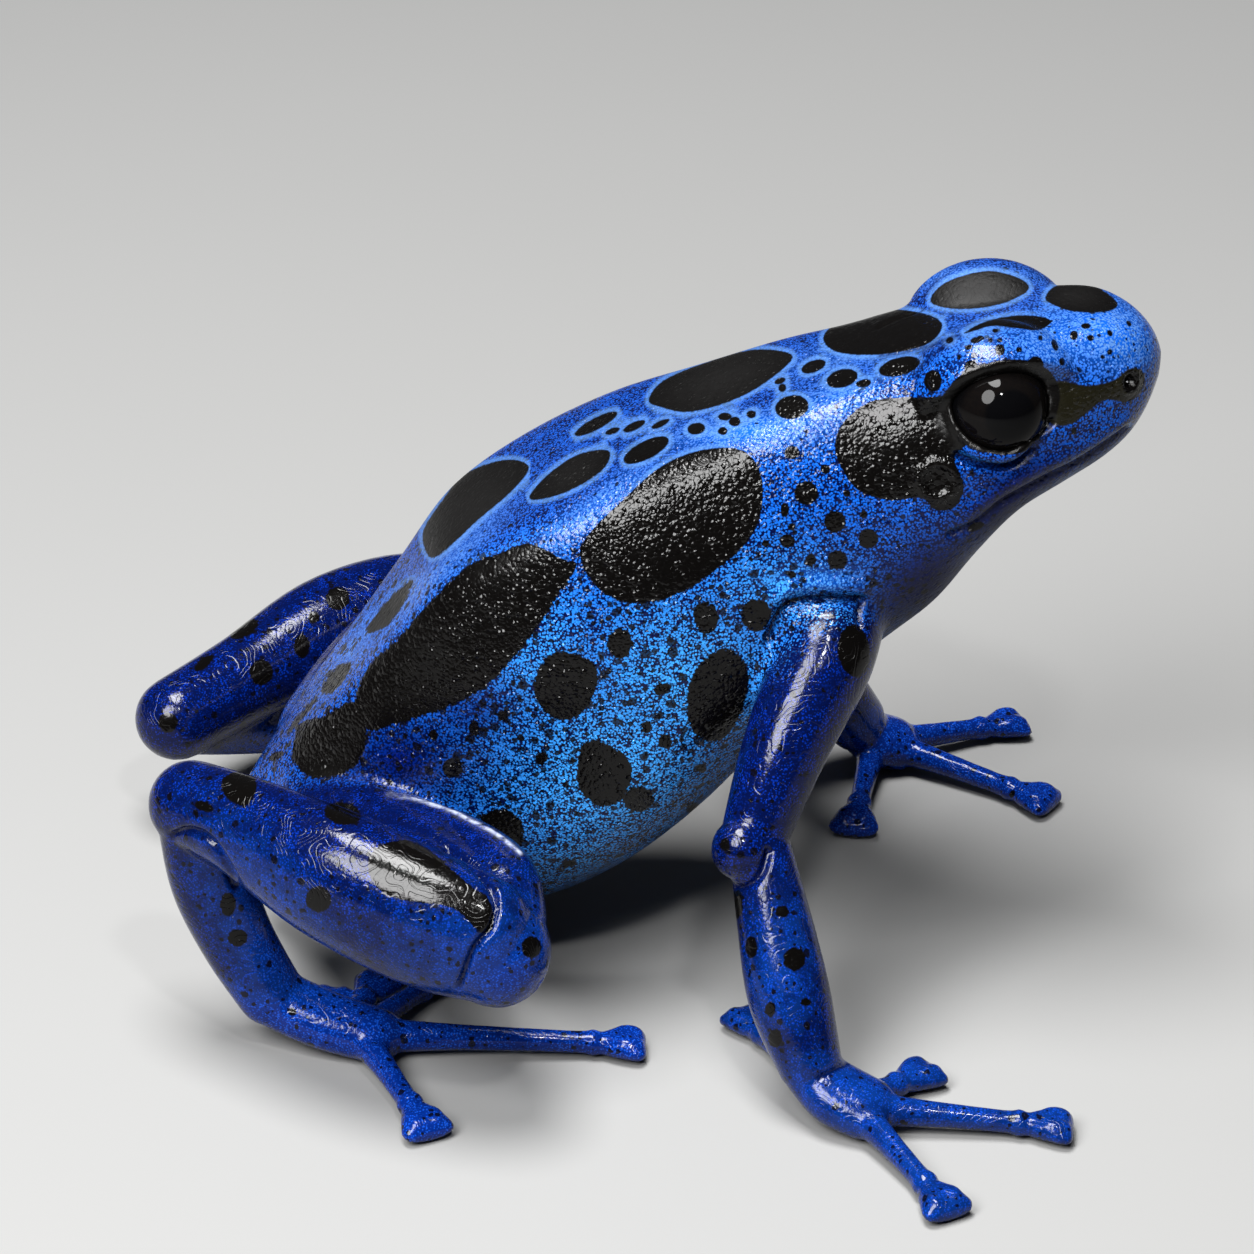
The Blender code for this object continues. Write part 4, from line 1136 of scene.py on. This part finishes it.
def skin_material(look):
    """Wet granular skin: blue with a fine dark network, black spots and a brown cheek band."""
    made = bpy.data.materials.new("frog_skin")
    made.use_nodes = True
    tree = made.node_tree
    shader = tree.nodes["Principled BSDF"]
    place = tree.nodes.new("ShaderNodeTexCoord").outputs["Object"]
    read, mix, step = partial(read_value, tree), partial(mix_colour, tree), partial(stepped, tree)
    times, plus = partial(sums, tree, "MULTIPLY"), partial(sums, tree, "ADD")
    times_plus = partial(sums, tree, "MULTIPLY_ADD")
    limb, pale, belly, deep_and_shade = read("limb"), read("pale"), read("belly"), read("deep_and_shade")
    azure_and_highlight, torn, ringed, shaded = read("azure_and_highlight"), read("torn"), read("ringed"), read("shaded")
    sleek, arm_top_and_highlight = read("sleek"), read("arm_top_and_highlight")
    fleck = clouds(tree, place, FLECK_SIZE, 3.0, 0.6)

    # The bright granules, the dark between them, and their colours from part to part
    bright = mix("side to top", ringed, look.flank_blue, look.top_blue)
    for part, share, tint in (
        ("pale parts", pale, look.back_blue),
        ("belly", belly, look.belly_blue_and_arm_highlight),
        # deep blue of the rump, and painted shade under the throat, jaw and belly
        ("rump and throat", deep_and_shade, look.deep_blue_and_shade),
        ("limbs", limb, look.limb_blue),
        # lighter blue of hands and feet, and on the tarsus partly a painted highlight
        ("hands and feet", azure_and_highlight, look.hand_blue_and_highlight),
        # pale top of the upper arm, partly a painted highlight
        ("top of the arms", arm_top_and_highlight, look.belly_blue_and_arm_highlight),
    ):
        bright = mix(part, share, bright, tint)
    light_parts = sums(tree, "MAXIMUM", times(pale, 0.75), times(azure_and_highlight, 0.6))
    lighter = mix("lighter network", azure_and_highlight, look.flank_blue, look.limb_blue)
    dark = mix("between granules", light_parts, look.network_blue, lighter)
    speckle = cells(tree, place, SPECKLE_SIZE)
    granule_dulling = times(cell_number(tree, speckle, 1), times_plus(limb, -0.1, 0.45))
    duller = mix("duller", 0.35, look.network_blue, bright)
    bright = mix("granule to granule", granule_dulling, bright, duller)
    granule = plus(speckle.outputs["Distance"], times_plus(fleck, 0.6, -0.30))
    granule = plus(granule, times(limb, 0.15))
    blue = mix("granules", step(granule, 0.64, 0.36), dark, bright)
    blotch = times(step(clouds(tree, place, BLOTCH_SIZE, 3.0, 0.6), 0.48, 0.58), limb)
    blotch = times(blotch, sums(tree, "SUBTRACT", 0.75, azure_and_highlight, clamp=True))
    blue = mix("blotches", blotch, blue, look.network_blue)
    # Painted shade: the underside, jaw and throat darker toward the network blue
    blue = mix("underside", times(shaded, 0.85), blue, look.network_blue)

    # Small irregular dots, more of them on the flank
    bent = tree.nodes.new("ShaderNodeVectorMath")
    bent.operation = "MULTIPLY_ADD"
    shake = tree.nodes.new("ShaderNodeTexNoise")
    shake.inputs["Scale"].default_value = 1 / (BEND_SIZE * MM)
    tree.links.new(place, shake.inputs["Vector"])
    tree.links.new(shake.outputs["Color"], bent.inputs[0])
    bent.inputs[1].default_value = (BEND_REACH * MM,) * 3
    tree.links.new(place, bent.inputs[2])
    for width, share in DOTS:
        dots = cells(tree, bent.outputs[0], width)
        size = times(step(cell_number(tree, dots), 0.25, 1.0), share)
        size = times(size, times_plus(torn, 0.45, 0.55))
        dot = step(sums(tree, "SUBTRACT", dots.outputs["Distance"], size), 0.03, -0.05)
        blue = mix("dots", times(dot, 0.92), blue, look.spot_black)

    # Spots, torn at the edge low on the side, with a pale line round those on the back
    shred = plus(clouds(tree, place, SHRED_SIZE, 4.0, 0.7), -0.5)
    shred = times(shred, times_plus(torn, 0.34, 0.08))
    edge = plus(read("spot"), shred)
    halo = times(step(edge, 0.26, 0.08), ringed)
    blue = mix("pale line", times(halo, 0.42), blue, look.back_blue)
    # Painted shade in the creases, toward the network blue
    blue = mix("creases", times(read("crease"), 0.85), blue, look.network_blue)
    # The pale silver edge of the thigh fold, partly a painted highlight
    silver = times(read("silver"), step(fleck, 0.30, 0.62))
    blue = mix("silver fold", times(silver, 0.7), blue, look.fold_silver_and_highlight)
    in_band = step(plus(read("band"), shred), 0.05, -0.05)
    in_spot = step(edge, 0.03, -0.03)
    colour = mix("cheek band", in_band, blue, look.band_brown)
    colour = mix("spots", in_spot, colour, look.spot_black)
    tree.links.new(colour, shader.inputs["Base Color"])

    # Relief in metres: domed granules, soft undulations, and wavy wrinkles on limbs and ridges
    grain = cells(tree, place, GRANULE_SIZE)
    height = times_plus(sums(tree, "POWER", cell_number(tree, grain), 3.6), 0.90, 0.10)
    domes = times(sums(tree, "POWER", grain.outputs["Distance"], 2.0), height)
    domes = times(domes, -GRANULE_DEPTH * MM)
    domes = times(domes, times_plus(sleek, -0.93, 1.0))
    fine = times(cells(tree, place, FINE_SIZE).outputs["Distance"], -FINE_DEPTH * MM)
    fine = times(fine, times_plus(sleek, -0.75, 1.0))
    swell = times(clouds(tree, place, SWELL_SIZE, 3.0, 0.5), SWELL_HEIGHT * MM)
    swell = times(swell, times_plus(sleek, -0.85, 1.0))
    field = times(clouds(tree, place, WRINKLE_SIZE, 1.0, 0.4), WRINKLE_COUNT * math.tau)
    groove = step(sums(tree, "SINE", field, 0.0), 0.35, 0.95)
    groove = times(groove, sums(tree, "MAXIMUM", limb, times(sleek, 0.45)))
    relief = plus(plus(domes, fine), swell)
    relief = plus(relief, times(groove, -WRINKLE_DEPTH * MM))
    bump = tree.nodes.new("ShaderNodeBump")
    bump.inputs["Strength"].default_value = 1.0
    bump.inputs["Distance"].default_value = look.grain_depth
    tree.links.new(relief, bump.inputs["Height"])
    tree.links.new(bump.outputs["Normal"], shader.inputs["Normal"])

    # Gloss: wet, but duller on the underside, the back and the satin places
    rough = times_plus(clouds(tree, place, GLOSS_SIZE, 2.0), 0.10, 0.08)
    for share, rise in ((shaded, 0.45), (ringed, 0.08), (read("satin"), 0.45)):
        rough = times_plus(share, rise, rough)
    tree.links.new(rough, shader.inputs["Roughness"])
    shader.inputs["Specular IOR Level"].default_value = 0.20
    return made


def eye_material(look):
    """A black wet eye: a very dark brown iris round a black pupil."""
    made = bpy.data.materials.new("frog_eye")
    made.use_nodes = True
    tree = made.node_tree
    shader = tree.nodes["Principled BSDF"]
    ring = read_value(tree, "from_pupil")
    place = tree.nodes.new("ShaderNodeTexCoord").outputs["Object"]
    streaks = clouds(tree, place, STREAK_SIZE, 3.0, 0.7)
    iris = mix_colour(tree, "iris", streaks, look.pupil_black, look.iris_brown)
    colour = mix_colour(tree, "pupil", stepped(tree, ring, *PUPIL_EDGE), look.pupil_black, iris)
    colour = mix_colour(tree, "rim", stepped(tree, ring, *IRIS_EDGE), colour, look.pupil_black)
    tree.links.new(colour, shader.inputs["Base Color"])
    shader.inputs["Roughness"].default_value = 0.08
    shader.inputs["Specular IOR Level"].default_value = 0.015
    shader.inputs["Coat Weight"].default_value = 0.24
    shader.inputs["Coat Roughness"].default_value = 0.01
    shader.inputs["Coat IOR"].default_value = 1.38
    return made


def plain_material(name, colour, roughness):
    """A matt finish, very slightly uneven in colour."""
    made = bpy.data.materials.new(name)
    made.use_nodes = True
    tree = made.node_tree
    shader = tree.nodes["Principled BSDF"]
    place = tree.nodes.new("ShaderNodeTexCoord").outputs["Object"]
    soft = clouds(tree, place, UNEVEN_FLOOR_SIZE)
    darker = [channel * 0.97 for channel in colour[:3]] + [1]
    uneven = mix_colour(tree, "unevenness", soft, colour, darker)
    tree.links.new(uneven, shader.inputs["Base Color"])
    shader.inputs["Roughness"].default_value = roughness
    return made


def settle(form):
    """Moves a finished piece from the pose, in millimetres, to its place in metres."""
    points, _ = read_mesh(form)
    write_points(form, points * MM + np.array(POSE_ORIGIN))
    form.data.shade_smooth()


class FrogSkinLook(bpy.types.PropertyGroup):
    """Sizes and colours of the skin."""

    clay_step: bpy.props.FloatProperty(
        name="Skin fineness", description="Size of the smallest form in the skin", default=0.00013,
        precision=5, subtype="DISTANCE", unit="LENGTH",
    )
    grain_depth: bpy.props.FloatProperty(
        name="Grain depth", description="How strongly the granules and wrinkles stand out",
        default=1.0,
    )
    top_blue: bpy.props.FloatVectorProperty(
        name="Back", description="Blue of the back between the spots", size=4, subtype="COLOR",
        default=(0.005, 0.046, 0.27, 1.0),
    )
    back_blue: bpy.props.FloatVectorProperty(
        name="Ridges", description="Pale blue of the ridges, brow and snout",
        size=4, subtype="COLOR", default=(0.062, 0.150, 0.34, 1.0),
    )
    flank_blue: bpy.props.FloatVectorProperty(
        name="Flank", description="Blue of the flanks and neck", size=4, subtype="COLOR",
        default=(0.0035, 0.072, 0.40, 1.0),
    )
    # Blue of the belly; on the top of the arms also a painted highlight
    belly_blue_and_arm_highlight: bpy.props.FloatVectorProperty(
        name="Belly", description="Blue of the belly", size=4, subtype="COLOR",
        default=(0.036, 0.30, 0.78, 1.0),
    )
    # Deep blue of the rump; on the throat, jaw and belly it is painted shade
    deep_blue_and_shade: bpy.props.FloatVectorProperty(
        name="Rump and throat", description="Deep blue of the rump and throat",
        size=4, subtype="COLOR", default=(0.0002, 0.004, 0.085, 1.0),
    )
    limb_blue: bpy.props.FloatVectorProperty(
        name="Limbs", description="Blue of the limbs", size=4, subtype="COLOR",
        default=(0.0006, 0.013, 0.165, 1.0),
    )
    # Lighter blue of the hands and feet, and on the tarsus partly a painted highlight
    hand_blue_and_highlight: bpy.props.FloatVectorProperty(
        name="Hands and feet", description="Lighter blue of the hands and feet",
        size=4, subtype="COLOR", default=(0.005, 0.055, 0.39, 1.0),
    )
    network_blue: bpy.props.FloatVectorProperty(
        name="Network", description="Dark blue of the fine network", size=4, subtype="COLOR",
        default=(0.0003, 0.002, 0.024, 1.0),
    )
    spot_black: bpy.props.FloatVectorProperty(
        name="Spots", description="Black of the spots", size=4, subtype="COLOR",
        default=(0.0012, 0.0010, 0.0009, 1.0),
    )
    # Pale edge of the thigh fold, partly a painted highlight
    fold_silver_and_highlight: bpy.props.FloatVectorProperty(
        name="Silver fold", description="Pale edge of the thin fold over the thigh",
        size=4, subtype="COLOR", default=(0.42, 0.46, 0.58, 1.0),
    )
    band_brown: bpy.props.FloatVectorProperty(
        name="Cheek band", description="Brown of the band between eye and nostril",
        size=4, subtype="COLOR", default=(0.0055, 0.0050, 0.0024, 1.0),
    )


class FrogEyeLook(bpy.types.PropertyGroup):
    """Sizes and colours of the eyes."""

    bulge: bpy.props.FloatProperty(
        name="Cornea", description="How far the cornea stands out of the eyeball", default=0.00008,
        precision=5, subtype="DISTANCE", unit="LENGTH",
    )
    pupil_black: bpy.props.FloatVectorProperty(
        name="Pupil", description="Black of the pupil", size=4, subtype="COLOR",
        default=(0.001, 0.001, 0.0012, 1.0),
    )
    iris_brown: bpy.props.FloatVectorProperty(
        name="Iris", description="Very dark brown of the iris", size=4, subtype="COLOR",
        default=(0.003, 0.0023, 0.002, 1.0),
    )


class FrogStageLook(bpy.types.PropertyGroup):
    """Floor, light and camera."""

    floor_colour: bpy.props.FloatVectorProperty(
        name="Floor", description="Colour of the floor", size=4, subtype="COLOR",
        default=(0.19, 0.19, 0.187, 1.0),
    )
    floor_width: bpy.props.FloatProperty(
        name="Floor width", description="Width of the floor", default=1.2,
        subtype="DISTANCE", unit="LENGTH",
    )
    key_power: bpy.props.FloatProperty(
        name="Key light", description="Power of the overhead softbox", default=1.6,
        subtype="POWER", unit="POWER",
    )
    side_power: bpy.props.FloatProperty(
        name="Side light", description="Power of the softbox on the left", default=2.3,
        subtype="POWER", unit="POWER",
    )
    spark_power: bpy.props.FloatProperty(
        name="Spark", description="Power of the small light near the camera", default=0.35,
        subtype="POWER", unit="POWER",
    )
    room_light: bpy.props.FloatProperty(
        name="Room light", description="Strength of the light from all around", default=0.05,
    )


class FROG_OT_skin(bpy.types.Operator):
    """Makes the skin of trunk, head, limbs, fingers and toes in one piece"""

    bl_idname = "frog.skin"
    bl_label = "Skin"

    def execute(self, context):
        look = context.scene.frog_skin
        torso = make_torso()
        bpy.context.view_layer.update()
        torso_surface = BVHTree.FromObject(torso, bpy.context.evaluated_depsgraph_get())
        step = look.clay_step / MM
        skin = join_forms("skin", [torso] + make_limbs())
        before = np.ptp(read_mesh(skin)[0], axis=0)
        finish_modifier(skin, "REMESH", mode="VOXEL", voxel_size=step, use_smooth_shade=True)
        if np.any(np.ptp(read_mesh(skin)[0], axis=0) < SKIN_KEEPS * before):
            raise RuntimeError("A form was lost when the skin was made one surface")
        finish_modifier(skin, "SMOOTH", factor=0.5, iterations=6)
        points, normals = read_mesh(skin)
        limbs = limb_share(points, torso_surface)
        soften(skin, points, limbs)
        points, normals = read_mesh(skin)
        points += normals * fold_heights(points, normals, limbs)[0][:, None]
        points = carve_round(points, normals, EARDRUM_CENTRE, EARDRUM_RADIUS, EARDRUM_PROFILE)
        points = carve_round(points, normals, NOSTRIL_CENTRE, NOSTRIL_RADIUS, NOSTRIL_PROFILE)
        points[:, 2] = np.maximum(points[:, 2], 0)
        write_points(skin, points)
        thin_out(skin, limbs)
        mark_skin(skin, torso_surface)
        settle(skin)
        skin.data.materials.clear()
        skin.data.materials.append(skin_material(look))
        flesh = [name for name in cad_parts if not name.startswith("eye_")]
        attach(skin, "root")
        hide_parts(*flesh)
        return {"FINISHED"}


class FROG_OT_eyes(bpy.types.Operator):
    """Makes both eyes"""

    bl_idname = "frog.eyes"
    bl_label = "Eyes"

    def execute(self, context):
        look = context.scene.frog_eyes
        glass = eye_material(look)
        for side in "RL":
            centre, axis, across, upwards = eye_frame(side)
            axes = (across, upwards, axis)
            eye = ball("eyeball_" + side, centre, (EYE_RADIUS,) * 3, axes, segments=96, rings=64)
            points, _ = read_mesh(eye)
            out = (points - centre) @ axis / EYE_RADIUS
            from_pupil = np.linalg.norm(np.cross(points - centre, axis), axis=1)
            front = soft_step(out, 0.45, 0.95)
            write_points(eye, points + axis * (front * look.bulge / MM)[:, None])
            write_values(eye, "from_pupil", np.where(out > 0, from_pupil, EYE_RADIUS))
            settle(eye)
            eye.data.materials.append(glass)
            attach(eye, "root")
            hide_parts("eye_" + side)
        return {"FINISHED"}


def soft_light(plan, power):
    """A soft oval light, placed and aimed as planned."""
    lamp = bpy.data.lights.new(plan.name, "AREA")
    lamp.shape = "ELLIPSE"
    lamp.energy = power
    lamp.size = plan.width * MM
    lamp.size_y = plan.length * MM
    light = bpy.data.objects.new(plan.name, lamp)
    bpy.context.scene.collection.objects.link(light)
    light.location = Vector(plan.place) * MM + POSE_ORIGIN
    way = Vector(LIGHT_AIM) - Vector(plan.place)
    light.rotation_euler = way.to_track_quat("-Z", "Y").to_euler()


class FROG_OT_stage(bpy.types.Operator):
    """Makes the floor, the lights and the camera"""

    bl_idname = "frog.stage"
    bl_label = "Floor, light and camera"

    def execute(self, context):
        look = context.scene.frog_stage
        bpy.ops.object.select_all(action="DESELECT")
        bpy.ops.mesh.primitive_plane_add(size=look.floor_width)
        floor = bpy.context.object
        floor.name = "floor"
        finish = plain_material("pale_floor", look.floor_colour, FLOOR_ROUGHNESS)
        floor.data.materials.append(finish)
        soft_light(KEY_LIGHT, look.key_power)
        soft_light(SIDE_LIGHT, look.side_power)
        soft_light(SPARK_LIGHT, look.spark_power)
        world = bpy.data.worlds.new("room")
        world.use_nodes = True
        background = world.node_tree.nodes["Background"]
        background.inputs["Color"].default_value = (0.85, 0.9, 1.0, 1.0)
        background.inputs["Strength"].default_value = look.room_light
        context.scene.world = world
        lens = bpy.data.cameras.new("camera")
        lens.sensor_fit = "HORIZONTAL"
        lens.sensor_width = SENSOR_WIDTH
        lens.lens = SENSOR_WIDTH * CAMERA_DISTANCE / PICTURE_WIDTH
        lens.clip_start = 0.01
        camera = bpy.data.objects.new("camera", lens)
        context.scene.collection.objects.link(camera)
        back = Vector((0, -math.cos(CAMERA_TILT), math.sin(CAMERA_TILT)))
        camera.location = Vector(AIM) * MM + POSE_ORIGIN + back * CAMERA_DISTANCE * MM
        camera.rotation_euler = (math.pi / 2 - CAMERA_TILT, 0, 0)
        context.scene.camera = camera
        context.scene.view_settings.view_transform = "Standard"
        return {"FINISHED"}


class FROG_PT_panel(bpy.types.Panel):
    """The steps that make the frog"""

    bl_label = "Poison dart frog"
    bl_idname = "FROG_PT_panel"
    bl_space_type = "VIEW_3D"
    bl_region_type = "UI"
    bl_category = "Frog"

    def draw(self, context):
        for group in (context.scene.frog_skin, context.scene.frog_eyes, context.scene.frog_stage):
            box = self.layout.box()
            for name in group.__annotations__:
                box.prop(group, name)
        for step in STEPS:
            self.layout.operator(step)


CLASSES = (
    FrogSkinLook, FrogEyeLook, FrogStageLook, FROG_OT_skin, FROG_OT_eyes, FROG_OT_stage,
    FROG_PT_panel,
)
STEPS = ("frog.skin", "frog.eyes", "frog.stage")


def register():
    """Makes the settings, the steps and the panel known."""
    for one in CLASSES:
        bpy.utils.register_class(one)
    bpy.types.Scene.frog_skin = bpy.props.PointerProperty(type=FrogSkinLook)
    bpy.types.Scene.frog_eyes = bpy.props.PointerProperty(type=FrogEyeLook)
    bpy.types.Scene.frog_stage = bpy.props.PointerProperty(type=FrogStageLook)


def unregister():
    """Takes them away again."""
    del bpy.types.Scene.frog_skin
    del bpy.types.Scene.frog_eyes
    del bpy.types.Scene.frog_stage
    for one in reversed(CLASSES):
        bpy.utils.unregister_class(one)


def main():
    """Makes the frog, the floor, the lights and the camera."""
    register()
    bpy.ops.frog.skin()
    bpy.ops.frog.eyes()
    bpy.ops.frog.stage()


if __name__ == "__main__":
    main()
